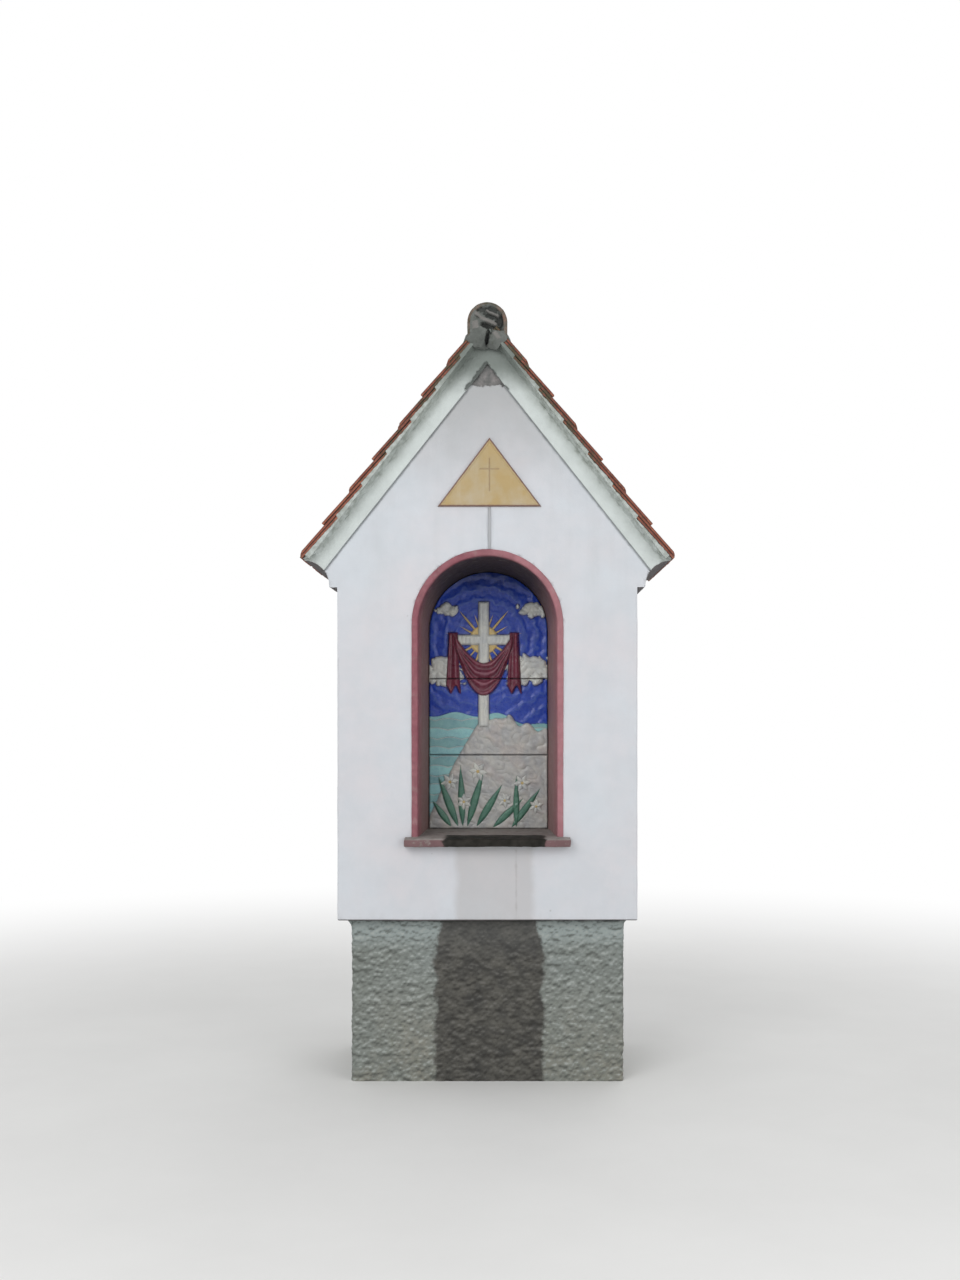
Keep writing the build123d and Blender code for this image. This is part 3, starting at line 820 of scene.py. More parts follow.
def tidy_skin(skin):
    """Merges double points and the flat faces that lie side by side."""
    bmesh.ops.remove_doubles(skin, verts=skin.verts, dist=2e-5)
    bmesh.ops.dissolve_degenerate(skin, edges=skin.edges, dist=1e-6)
    bmesh.ops.dissolve_limit(skin, angle_limit=0.02, verts=skin.verts, edges=skin.edges)


def round_edges(skin, width, wanted):
    """Rounds the outer corners that wanted(start, end) picks."""
    skin.normal_update()
    edges = [
        edge
        for edge in skin.edges
        if edge.is_manifold
        and edge.is_convex
        and edge.calc_face_angle(0.0) > radians(25)
        and wanted(edge.verts[0].co, edge.verts[1].co)
    ]
    shape = {"segments": 2, "profile": 0.6, "affect": "EDGES", "clamp_overlap": True}
    bmesh.ops.bevel(skin, geom=edges, offset=width, **shape)


def cut_lattice(skin, axis, low, high, cell, region=None):
    """Cuts the faces along one axis into strips about one cell wide."""
    count = ceil((high - low) / cell)
    normal = Vector((0.0, 0.0, 0.0))
    normal[axis] = 1.0
    for number in range(1, count):
        place = normal * (low + (high - low) * number / count)
        if region is None:
            chosen = skin.faces
        else:
            chosen = [face for face in skin.faces if region(face.calc_center_median())]
        edges = {edge for face in chosen for edge in face.edges}
        verts = {vert for face in chosen for vert in face.verts}
        cut = [*verts, *edges, *chosen]
        bmesh.ops.bisect_plane(skin, geom=cut, dist=1e-6, plane_co=place, plane_no=normal)


def near_tip(point, levels):
    """Whether a point lies in the broken tip of the gable."""
    return abs(point.x) < TIP_REACH and levels[0] < point.z < levels[1]


def cut_tip(skin, levels, cell, region):
    """Cuts a finer lattice into the broken tip of the gable."""
    cut_lattice(skin, 2, *levels, cell, region)
    cut_lattice(skin, 0, -TIP_REACH, TIP_REACH, cell, region)


def roughen(skin, layers, share=None):
    """Moves points along their normals by layers of noise: wavelength, height and seed."""
    skin.normal_update()
    moves = []
    for vert in skin.verts:
        part = 1.0 if share is None else share(vert.co)
        shift = 0.0
        for wavelength, height, seed in layers:
            shift += height * noise.noise(vert.co / wavelength + Vector((seed, seed * 0.7, seed * 1.3)))
        moves.append(vert.normal * (shift * part))
    for vert, move in zip(skin.verts, moves):
        vert.co += move


def skin_from(mesh):
    """The faces of a mesh, ready for work. The mesh itself is removed."""
    skin = bmesh.new()
    skin.from_mesh(mesh)
    bpy.data.meshes.remove(mesh)
    return skin


def place_piece(name, source, material, nodes=(), angle=38.0, stored=None):
    """Turns a bmesh or a mesh into a piece that rides with the shrine."""
    if isinstance(source, bmesh.types.BMesh):
        mesh = bpy.data.meshes.new(name)
        source.to_mesh(mesh)
        source.free()
    else:
        mesh = source
        mesh.name = name
    for label, values in (stored or {}).items():
        kind = "FLOAT_COLOR" if values.ndim == 2 else "FLOAT"
        key = "color" if values.ndim == 2 else "value"
        attribute = mesh.attributes.new(label, kind, "POINT")
        attribute.data.foreach_set(key, values.astype(np.float32).ravel())
    mesh.shade_smooth()
    mesh.set_sharp_from_angle(angle=radians(angle))
    mesh.materials.clear()
    mesh.materials.append(material)
    piece = bpy.data.objects.new(name, mesh)
    bpy.context.scene.collection.objects.link(piece)
    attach(piece, "root")
    if nodes:
        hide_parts(*nodes)


def sheet_faces(rows, columns, start):
    """Faces of a closed slab between two grids of points, the second after the first."""
    front = np.arange(rows * columns).reshape(rows, columns) + start
    back = front + rows * columns
    quads = [
        np.stack([front[:-1, :-1], front[1:, :-1], front[1:, 1:], front[:-1, 1:]], -1).reshape(-1, 4),
        np.stack([back[:-1, :-1], back[:-1, 1:], back[1:, 1:], back[1:, :-1]], -1).reshape(-1, 4),
    ]
    rims = [outline_numbers(front), outline_numbers(back)]
    ahead = [np.roll(rim, -1) for rim in rims]
    quads.append(np.stack([rims[0], ahead[0], ahead[1], rims[1]], -1))
    return np.concatenate(quads)


def closed_mesh(sheets):
    """One mesh from pairs of grids, front and back, each pair a closed slab."""
    points = []
    faces = []
    start = 0
    for front, back in sheets:
        rows, columns = front.shape[:2]
        points.append(front.reshape(-1, 3))
        points.append(back.reshape(-1, 3))
        faces.append(sheet_faces(rows, columns, start))
        start += 2 * rows * columns
    mesh = bpy.data.meshes.new("sheets")
    mesh.from_pydata(np.concatenate(points).tolist(), [], np.concatenate(faces).tolist())
    turn_outwards(mesh)
    return mesh


def outline_numbers(numbers):
    """The outer points of a grid, once round."""
    return np.concatenate([numbers[0, :], numbers[1:, -1], numbers[-1, -2::-1], numbers[-2:0:-1, 0]])


def backed_mesh(front, back_y):
    """One mesh from a grid of points, with a skirt and a single flat face at its back."""
    rows, columns = front.shape[:2]
    numbers = np.arange(rows * columns).reshape(rows, columns)
    quads = np.stack([numbers[:-1, :-1], numbers[1:, :-1], numbers[1:, 1:], numbers[:-1, 1:]], -1)
    rim = outline_numbers(numbers)
    behind = front.reshape(-1, 3)[rim]
    behind[:, 1] = back_y
    cap = rows * columns + np.arange(len(rim))
    skirt = np.stack([rim, np.roll(rim, -1), np.roll(cap, -1), cap], -1)
    mesh = bpy.data.meshes.new("slab")
    points = np.concatenate([front.reshape(-1, 3), behind]).tolist()
    faces = quads.reshape(-1, 4).tolist() + skirt.tolist() + [cap.tolist()]
    mesh.from_pydata(points, [], faces)
    turn_outwards(mesh)
    return mesh, rim


def turn_outwards(mesh):
    """Turns every face of a closed mesh to the outside."""
    turned = bmesh.new()
    turned.from_mesh(mesh)
    bmesh.ops.recalc_face_normals(turned, faces=turned.faces)
    turned.to_mesh(mesh)
    turned.free()


def noise_field(x, z, wavelength, seed, octaves=1):
    """Smooth noise from minus one to one at each point of two equal arrays."""
    flat = np.empty(x.size)
    for number, (across, up) in enumerate(zip(x.ravel() / wavelength, z.ravel() / wavelength)):
        place = Vector((across, up, seed))
        value = noise.noise(place)
        strength = 0.5
        for step in range(1, octaves):
            value += strength * noise.noise(place * 2.0**step)
            strength *= 0.5
        flat[number] = value
    return flat.reshape(x.shape)


def grid_from(x, y, z):
    """Stacks three arrays into a grid of points."""
    x, y, z = np.broadcast_arrays(x, y, z)
    return np.stack([x, y, z], -1).astype(float)


def clamp(value, low=0.0):
    """The value, kept between low and one."""
    return max(low, min(1.0, value))


def step_up(value, low, high):
    """Zero below low, one above high and smooth between."""
    share = np.clip((value - low) / (high - low), 0.0, 1.0)
    return share * share * (3.0 - 2.0 * share)


# Roof lines


def tile_point(side, course, along, above):
    """X and z of a point of a tile: along it from its tail and above its underside."""
    run = course * TILE_GAUGE + along * cos(TILT) + above * sin(TILT)
    rise = TILE_LENGTH * sin(TILT) - along * sin(TILT) + above * cos(TILT)
    x = DECK_X - run * cos(PITCH) + rise * sin(PITCH)
    z = DECK_Z + run * sin(PITCH) + rise * cos(PITCH)
    return side * x, z


def roof_top(x):
    """The height at x of the plane over the last course, where the ridge is bedded."""
    tail_x, tail_z = tile_point(1, COURSE_COUNT - 1, 0.0, COURSE_STEP)
    return tail_z + (tail_x - x) * tan(PITCH - TILT)


RIDGE_CENTRE = roof_top(RIDGE_INNER_RADIUS) + RIDGE_LEG


def opening_half_width(y):
    """Half the clear width of the splayed niche at depth y."""
    return RECESS_HALF_WIDTH - SURROUND_WIDTH - NICHE_SPLAY * (y - FRONT) / NICHE_DEPTH


# The pieces, an operator for each group of them


class SHRINE_OT_walls(bpy.types.Operator):
    """Dress the body in hand-floated render with soft corners and a bare patch at its tip"""

    bl_idname = "shrine.walls"
    bl_label = "Rendered walls"

    def execute(self, context):
        settings = context.scene.shrine_walls
        nodes = ["lower_wall", "left_pier", "right_pier", "back_wall", "front_gable", "rear_gable"]
        nodes += ["left_eaves_cornice", "right_eaves_cornice"]
        skin = joined_solids(nodes)
        # The patch is cut again below, with a ragged edge
        recess_level = FRONT + LOST_PLASTER_DEPTH
        for vert in skin.verts:
            if abs(vert.co.y - recess_level) < 1e-4 and vert.co.z > PLAQUE_LEVEL:
                vert.co.y = FRONT
        tidy_skin(skin)

        def outer_corner(start, end):
            ends = (start, end)
            beside = all(abs(abs(point.x) - BODY_HALF_WIDTH) < 1e-4 for point in ends)
            upright = beside and all(abs(abs(point.y) - BODY_HALF_DEPTH) < 1e-4 for point in ends)
            foot = all(abs(point.z - BODY_FOOT) < 1e-4 for point in ends)
            outside = all(abs(point.x) > BODY_HALF_WIDTH + 0.01 for point in ends)
            eaves = outside and all(abs(point.z - EAVES_LEVEL) < 1e-4 for point in ends)
            return upright or foot or eaves

        round_edges(skin, settings.arris, outer_corner)
        low = Vector((-CORNICE_HALF_WIDTH, FRONT, BODY_FOOT))
        high = Vector((CORNICE_HALF_WIDTH, BODY_HALF_DEPTH, GABLE_TIP))
        for axis in (2, 0, 1):
            cut_lattice(skin, axis, low[axis], high[axis], settings.cell)

        sill_foot = NICHE_FLOOR - 0.04

        def past_surround(point):
            if point.y > FRONT + 0.004 or point.z < sill_foot:
                return 1.0
            return np.hypot(point.x, max(0.0, point.z - NICHE_SPRING)) - RECESS_HALF_WIDTH

        # Slivers along the edge of the surround would shade as dark spikes
        beside = [vert for vert in skin.verts if abs(past_surround(vert.co)) < 0.02]
        bmesh.ops.remove_doubles(skin, verts=beside, dist=0.0016)

        def broken(point):
            return point.y < FRONT + 0.001 and near_tip(point, WALL_TIP)

        cut_tip(skin, WALL_TIP, 0.0032, broken)

        def share(point):
            inside = abs(point.x) < RECESS_HALF_WIDTH + 0.003 and sill_foot < point.z < 2.15
            if inside and point.y > FRONT + 0.004:
                return 0.0
            # What the raking bands cover stays flat
            if point.z > DECK_APEX - abs(point.x) * tan(PITCH) - 0.05:
                return 0.0
            return clamp((past_surround(point) - 0.003) / 0.030)

        sway = settings.sway
        roughen(skin, ((0.42, sway, 3.0), (0.11, sway * 0.45, 9.0), (0.035, sway * 0.22, 17.0)), share)
        bare = []
        for vert in skin.verts:
            point = vert.co
            depth = 0.0
            if point.y < FRONT + 0.006 and point.z > WALL_TIP[0]:
                ragged = 0.008 * noise.noise(point / 0.020) + 0.005 * noise.noise(point / 0.007)
                above = point.z + ragged - (BAND_INNER_APEX - 0.088)
                depth = clamp(above / 0.004)
                rubble = 0.0040 * noise.noise(point / 0.016) + 0.002 * noise.noise(point / 0.006)
                vert.co.y += depth * (LOST_PLASTER_DEPTH - 0.002 + rubble)
            bare.append(depth)
        render = finish("White Render", white_render)
        place_piece("wall_skin", skin, render, nodes, stored={"bare": np.array(bare)})
        return {"FINISHED"}


class SHRINE_OT_plinth(bpy.types.Operator):
    """Cover the plinth and its coves in thrown rough-cast"""

    bl_idname = "shrine.plinth"
    bl_label = "Rough-cast plinth"

    def execute(self, context):
        settings = context.scene.shrine_walls
        low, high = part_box("plinth")
        corner = 0.020
        corner_steps = 6
        half_x = (high.x - low.x) / 2
        half_y = (high.y - low.y) / 2
        ring = []
        for number, (side_x, side_y) in enumerate(((1, -1), (1, 1), (-1, 1), (-1, -1))):
            for step in range(corner_steps + 1):
                turn = radians(-90 + 90 * number + 90 * step / corner_steps)
                x = side_x * (half_x - corner) + corner * cos(turn)
                y = side_y * (half_y - corner) + corner * sin(turn)
                ring.append(Vector((x, y, 0.0)))
        outline = []
        for start, end in zip(ring, ring[1:] + ring[:1]):
            pieces = max(1, round((end - start).length / settings.rough_cell))
            outline += [start.lerp(end, step / pieces) for step in range(pieces)]
        rows = round((high.z - low.z) / settings.rough_cell)
        levels = [low.z + (high.z - low.z) * row / rows for row in range(rows + 1)]
        skin = bmesh.new()
        rings = [[skin.verts.new((point.x, point.y, level)) for point in outline] for level in levels]
        for under, over in zip(rings, rings[1:]):
            for number in range(len(outline)):
                ahead = (number + 1) % len(outline)
                skin.faces.new((under[number], under[ahead], over[ahead], over[number]))
        skin.faces.new(rings[0][::-1])
        skin.faces.new(rings[-1])
        depth = settings.rough_depth
        up = Vector((0.0, 0.0, 0.004))
        lit = []
        for ring_verts in rings:
            for vert, point in zip(ring_verts, outline):
                out_x = max(0.0, abs(point.x) - half_x + corner)
                out_y = max(0.0, abs(point.y) - half_y + corner)
                out = Vector((copysign(out_x, point.x), copysign(out_y, point.y), 0.0)).normalized()
                rise = self.lump(vert.co, depth)
                slope = (self.lump(vert.co - up, depth) - self.lump(vert.co + up, depth)) / (2 * up.z)
                lit.append(clamp(slope / 0.50 + 0.30 * rise / depth, -1.0))
                vert.co += out * rise
        cement = finish("Cement Rough-cast", cement_render)
        stored = {"lit": np.array(lit)}
        place_piece("plinth_skin", skin, cement, ("plinth",), 80.0, stored)
        coves = joined_solids(("left_plinth_cove",))
        other = joined_solids(("right_plinth_cove",))
        spare = bpy.data.meshes.new("spare")
        other.to_mesh(spare)
        other.free()
        coves.from_mesh(spare)
        bpy.data.meshes.remove(spare)
        for axis, start, end, cell in ((1, -0.34, 0.34, 0.010), (2, 0.62, 0.656, 0.008)):
            cut_lattice(coves, axis, start, end, cell)
        roughen(coves, ((0.05, 0.002, 2.0), (0.012, 0.0016, 5.0)))
        nodes = ("left_plinth_cove", "right_plinth_cove")
        place_piece("cove_skins", coves, cement, nodes)
        return {"FINISHED"}

    def lump(self, point, depth):
        """How far the thrown mortar stands out or in at a point."""
        swell = 0.0016 * noise.noise(point / 0.17)
        flat = Vector((point.x / 1.35, point.y / 1.35, point.z))
        clot = noise.noise(flat / 0.026 + Vector((4.0, 1.0, 7.0)))
        near = noise.voronoi(flat / 0.0145)[0][0]
        grit = noise.noise(point / 0.009)
        return swell + depth * (0.62 * clot + 0.95 * (0.45 - near) + 0.26 * grit) - 0.0008


class SHRINE_OT_surround(bpy.types.Operator):
    """Run the painted surround up both jambs and over the arch, with its splayed reveal"""

    bl_idname = "shrine.surround"
    bl_label = "Niche surround"

    def execute(self, context):
        step = context.scene.shrine_niche.reveal_step
        # Half width and depth of the painted lip, from the wall round to the reveal
        outside = 0.3035
        lip = -0.3990
        profile = [
            (outside, -0.3960), (0.3034, -0.4030), (0.3022, -0.4052), (0.2998, -0.4062),
            (0.2960, -0.4065), (0.2915, -0.4066), (0.2870, -0.4065), (0.2832, -0.4060),
            (0.2803, -0.4047), (0.2788, -0.4025), (0.2781, lip),
        ]
        rows = ceil((NICHE_BACK - lip) / step)
        for row in range(1, rows + 1):
            y = lip + (NICHE_BACK - lip) * row / rows
            profile.append((opening_half_width(y), y))
        radius, depth = np.array(profile).T
        masonry = np.full_like(radius, outside)
        masonry_depth = np.linspace(-0.3955, NICHE_BACK, len(profile))
        legs = ceil((NICHE_SPRING - NICHE_FLOOR) / step)
        heights = [NICHE_FLOOR + (NICHE_SPRING - NICHE_FLOOR) * number / legs for number in range(legs)]
        turns = ceil(pi * 0.29 / step)
        angles = [pi - pi * number / turns for number in range(turns + 1)]
        stations = [(height, -1.0, 0.0) for height in heights]
        stations += [(NICHE_SPRING, cos(angle), sin(angle)) for angle in angles]
        stations += [(height, 1.0, 0.0) for height in reversed(heights)]
        centre, out_x, out_z = (column[:, None] for column in np.array(stations).T)
        front = grid_from(out_x * radius, depth[None, :], centre + out_z * radius)
        back = grid_from(out_x * masonry, masonry_depth[None, :], centre + out_z * masonry)
        skin = skin_from(closed_mesh([(front, back)]))
        roughen(skin, ((0.20, 0.0011, 6.0), (0.045, 0.0007, 1.0), (0.014, 0.0004, 8.0)))
        paint = finish("Surround Paint", red_paint, 0.28, False)
        nodes = ("left_niche_jamb", "right_niche_jamb", "niche_arch")
        place_piece("surround_skin", skin, paint, nodes)
        return {"FINISHED"}


class SHRINE_OT_sill(bpy.types.Operator):
    """Wear down the sill, with its paint rubbed off on top and its middle wet"""

    bl_idname = "shrine.sill"
    bl_label = "Niche sill"

    def execute(self, context):
        skin = joined_solids(("niche_sill",))

        def corner(start, end):
            return start.y < FRONT + 0.001 and end.y < FRONT + 0.001

        round_edges(skin, 0.0045, corner)
        low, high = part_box("niche_sill")
        for axis in range(3):
            cut_lattice(skin, axis, low[axis], high[axis], 0.009)

        def share(point):
            return 1.0 if point.y < FRONT - 0.002 or point.z > NICHE_FLOOR - 0.002 else 0.0

        roughen(skin, ((0.12, 0.0016, 2.0), (0.030, 0.0012, 5.0), (0.012, 0.0006, 9.0)), share)
        # Chips along the nosing
        nosing = -0.446
        for vert in skin.verts:
            point = vert.co
            if point.y < nosing and point.z > NICHE_FLOOR - 0.018:
                bite = noise.noise(Vector((point.x / 0.035, 3.0, 0.0))) - 0.28
                if bite > 0.0:
                    vert.co.y += bite * 0.012
                    vert.co.z -= bite * 0.006
        paint = finish("Sill Paint", red_paint, 0.75, True)
        place_piece("sill_skin", skin, paint, ("niche_sill",))
        return {"FINISHED"}


class ReliefCanvas:
    """A patch of the relief, as heights and glaze colours over a grid."""

    def __init__(self, x, z, ground):
        self.x = x
        self.z = z
        self.height = np.zeros_like(x)
        self.glaze = np.tile(np.array(ground, float), (*x.shape, 1))

    def lay(self, distance, lift, edge, glaze, texture=0.0, sink=0.5):
        """Lays a rounded form where distance is negative, over a share of what is there."""
        # A distance that grows too fast is scaled back, so that every edge is equally soft
        slope_x = np.gradient(distance, axis=1) / np.gradient(self.x, axis=1)
        slope_z = np.gradient(distance, axis=0) / np.gradient(self.z, axis=0)
        distance = distance / np.clip(np.hypot(slope_x, slope_z), 1.0, 4.0)
        depth = np.clip(-distance / edge, 0.0, 1.0)
        crown = np.sqrt(1.0 - (1.0 - depth) ** 2)
        inside = step_up(-distance, -0.0006, 0.0012)
        raised = self.height * sink + lift * crown + texture * inside
        self.height = self.height * (1.0 - inside) + raised * inside
        self.tint(inside, glaze)

    def tint(self, share, glaze):
        """Turns the glaze towards another colour, by a share at each point."""
        share = share[..., None]
        self.glaze = self.glaze * (1.0 - share) + np.array(glaze, float) * share


def disc(x, z, centre_x, centre_z, radius):
    """Distance to a disc round a point."""
    return np.hypot(x - centre_x, z - centre_z) - radius


def bar(x, z, start, end, half_width):
    """Distance to a bar with square ends between two points."""
    span = np.hypot(end[0] - start[0], end[1] - start[1])
    along_x = (end[0] - start[0]) / span
    along_z = (end[1] - start[1]) / span
    along = (x - start[0]) * along_x + (z - start[1]) * along_z
    across = -(x - start[0]) * along_z + (z - start[1]) * along_x
    return np.maximum(np.abs(across) - half_width, np.abs(along - span / 2) - span / 2)


# A distance that lies outside every form
CLEAR = 0.01


def leaf(x, z, start, end, half_width):
    """Distance to a pointed leaf between two points."""
    span = np.hypot(end[0] - start[0], end[1] - start[1])
    along_x = (end[0] - start[0]) / span
    along_z = (end[1] - start[1]) / span
    along = ((x - start[0]) * along_x + (z - start[1]) * along_z) / span
    across = np.abs(-(x - start[0]) * along_z + (z - start[1]) * along_x)
    width = half_width * np.sin(pi * np.clip(along, 0.0, 1.0) ** 0.8)
    return np.where((along > 0.0) & (along < 1.0), across - width, CLEAR)


COBALT = (0.007, 0.050, 0.450)
CREAM = (0.700, 0.720, 0.660)
GOLD = (0.700, 0.520, 0.200)
WINE = (0.185, 0.026, 0.052)
TURQUOISE = (0.300, 0.600, 0.600)
ROCK = (0.560, 0.560, 0.520)
SHELL = (0.600, 0.510, 0.460)
LEAF = (0.090, 0.240, 0.160)


def relief_canvas(x, z, lift):
    """Sky, sun and clouds over a draped cross on a hill above water and lilies."""
    canvas = ReliefCanvas(x, z, COBALT)
    ripple = noise_field(x, z, 0.045, 2.0, 2)
    # Where the bars of the cross meet, and the sky swirls round
    centre_x = -0.020
    centre_z = 1.800
    reach = np.hypot(x - centre_x, z - centre_z)
    swirl = np.sin(reach / 0.0085 + 2.4 * ripple)
    canvas.height = 0.0016 * ripple + 0.0013 * swirl
    canvas.tint(step_up(swirl, 0.55, 1.0) * 0.35, (0.07, 0.14, 0.42))
    # Gold rays behind the cross, long and short in turn
    rays = 18.0
    turn = np.arctan2(z - centre_z, x - centre_x) / (2 * pi) * rays
    length = np.where(np.floor(turn) % 2 == 0, 0.165, 0.118)
    wedge = (np.abs(turn % 1.0 - 0.5) - 0.34 * (1.0 - reach / length)) * reach * 2 * pi / rays
    canvas.lay(np.where(reach < length, wedge, CLEAR), lift * 0.20, 0.006, GOLD, sink=0.4)
    canvas.lay(disc(x, z, centre_x, centre_z, 0.062), lift * 0.28, 0.010, GOLD, sink=0.2)
    # Banks of cloud, each one mass with round billows on it
    for middle_x, middle_z, width, height, seed in (
        (-0.195, 1.650, 0.125, 0.085, 3.0),
        (0.175, 1.665, 0.140, 0.090, 9.0),
        (0.200, 1.925, 0.080, 0.042, 15.0),
        (-0.180, 1.925, 0.062, 0.036, 21.0),
    ):
        across = (x - middle_x) / width
        up = (z - middle_z) / height
        reach = np.hypot(across, up * np.where(up < 0.0, 1.5, 1.0)) - 1.0
        puffs = np.abs(noise_field(x, z, 0.060, seed)) + 0.5 * np.abs(noise_field(x, z, 0.028, seed + 1.0))
        mass = (reach + 0.42 - 0.85 * puffs) * 0.05
        folds = 0.0095 * puffs + 0.0010 * ripple
        canvas.lay(mass, lift * 0.40, 0.020, CREAM, folds, sink=0.15)
    # Water in scalloped rows
    shore = 1.480 + 0.010 * np.sin(x / 0.030) - 0.05 * step_up(x, 0.0, 0.25)
    canvas.lay(z - shore, lift * 0.12, 0.006, TURQUOISE, sink=0.0)
    row_height = 0.040
    for row in range(12):
        level = 1.455 - row * row_height
        phase = x / 0.036 + (row % 2) * pi / 2 + 0.35 * noise_field(x, z, 0.12, 5.0 + row)
        crest = level + 0.010 * np.abs(np.sin(phase)) - z
        band = np.maximum(-crest, level - row_height - z)
        tone = np.array(TURQUOISE) * (0.85 + 0.25 * (row % 2))
        canvas.lay(np.where(z < shore, band, CLEAR), lift * 0.16, 0.012, tone, sink=0.0)
        foam = np.where(z < shore - 0.006, np.abs(crest - 0.003) - 0.0022, CLEAR)
        canvas.lay(foam, lift * 0.06, 0.002, (0.46, 0.56, 0.54), sink=1.0)
    # The hill, in broken rock
    chips = noise_field(x, z, 0.050, 12.0, 2)
    hill_line = 1.462 - 2.6 * np.clip(np.abs(x - 0.030) - 0.050, 0.0, None) ** 1.25
    hill_line = np.where(x > 0.08, 1.462 - 0.30 * (x - 0.08) + 0.012 * np.sin(x / 0.012), hill_line)
    hill = z - hill_line - 0.010 * chips
    facets = 0.006 * np.abs(noise_field(x + z, z - 0.6 * x, 0.055, 15.0, 2))
    canvas.lay(hill, lift * 0.42, 0.020, ROCK, facets, sink=0.0)
    warm = step_up(noise_field(x, z, 0.080, 21.0), 0.05, 0.35) * step_up(-hill, 0.0, 0.01) * 0.3
    canvas.tint(warm, SHELL)
    # The cross
    upright = bar(x, z, (centre_x, 1.425), (centre_x, 1.965), 0.0235)
    arms = bar(x, z, (-0.168, centre_z), (0.128, centre_z), 0.0225)
    grain = 0.0008 * np.sin(x / 0.0030 + 3.0 * noise_field(x, z, 0.05, 30.0))
    canvas.lay(np.minimum(upright, arms), lift * 0.62, 0.012, CREAM, grain, sink=0.15)
    # The cloth, hung over both arms
    middle = np.clip((x - centre_x) / 0.125, -1.0, 1.0)
    sag_low = 1.560 + 0.215 * np.abs(middle) ** 2.1
    sag_high = 1.700 + 0.125 * np.abs(middle) ** 1.7
    swag = np.maximum(sag_low - z, z - sag_high)
    swag = np.maximum(swag, np.abs(x - centre_x) - 0.128)
    fold = (z - sag_low) / (sag_high - sag_low)
    folds = 0.0046 * np.sin(fold * 22.0 + 2.2 * noise_field(x, z, 0.06, 40.0) + 2.0 * middle**2)
    folds = folds * (1.0 - 0.8 * step_up(np.abs(middle), 0.50, 0.92))
    for side in (-1, 1):
        centre = centre_x + side * 0.131
        hem = 1.585 + 0.016 * np.sin((x - centre) / 0.0065)
        hang = np.clip(centre_z - z, 0.0, 0.3)
        flare = 0.020 + 0.055 * hang
        tail = np.maximum(np.abs(x - centre) - flare, np.maximum(hem - z, z - 1.832))
        pleats = 0.0042 * np.sin((x - centre) / (0.0042 + 0.012 * hang))
        canvas.lay(tail, lift * 0.66, 0.010, WINE, pleats, sink=0.1)
    canvas.lay(swag, lift * 0.80, 0.018, WINE, folds, sink=0.1)
    shine = step_up(np.where(swag < -0.004, folds, -1.0), 0.0020, 0.0046) * 0.45
    canvas.tint(shine, (0.38, 0.13, 0.17))
    # Leaves and lilies at the foot
    for start, end, width in (
        ((-0.13, 1.00), (-0.215, 1.215), 0.017), ((-0.11, 1.00), (-0.120, 1.262), 0.016),
        ((-0.09, 1.00), (-0.020, 1.245), 0.017), ((-0.05, 1.00), (0.060, 1.180), 0.016),
        ((-0.16, 1.00), (-0.240, 1.110), 0.015), ((0.02, 0.995), (0.150, 1.120), 0.015),
        ((0.10, 0.995), (0.225, 1.165), 0.015), ((0.12, 0.995), (0.120, 1.215), 0.014),
    ):
        blade = leaf(x, z, start, end, width)
        canvas.lay(blade, lift * 0.50, 0.010, LEAF, sink=0.35)
    for flower_x, flower_z, size, turn in (
        (-0.165, 1.190, 0.040, 0.2), (-0.045, 1.235, 0.043, 0.9), (-0.105, 1.105, 0.036, 0.5),
        (0.145, 1.185, 0.040, 0.1), (0.070, 1.110, 0.034, 0.7), (0.205, 1.085, 0.034, 0.4),
    ):
        for petal in range(6):
            lean = turn + petal * pi / 3
            tip = (flower_x + size * cos(lean), flower_z + size * sin(lean))
            shape = leaf(x, z, (flower_x, flower_z), tip, size * 0.27)
            canvas.lay(shape, lift * 0.34, size * 0.2, CREAM, sink=0.75 if petal == 0 else 0.55)
        canvas.lay(disc(x, z, flower_x, flower_z, size * 0.17), lift * 0.30, size * 0.15, GOLD, sink=0.7)
    return canvas


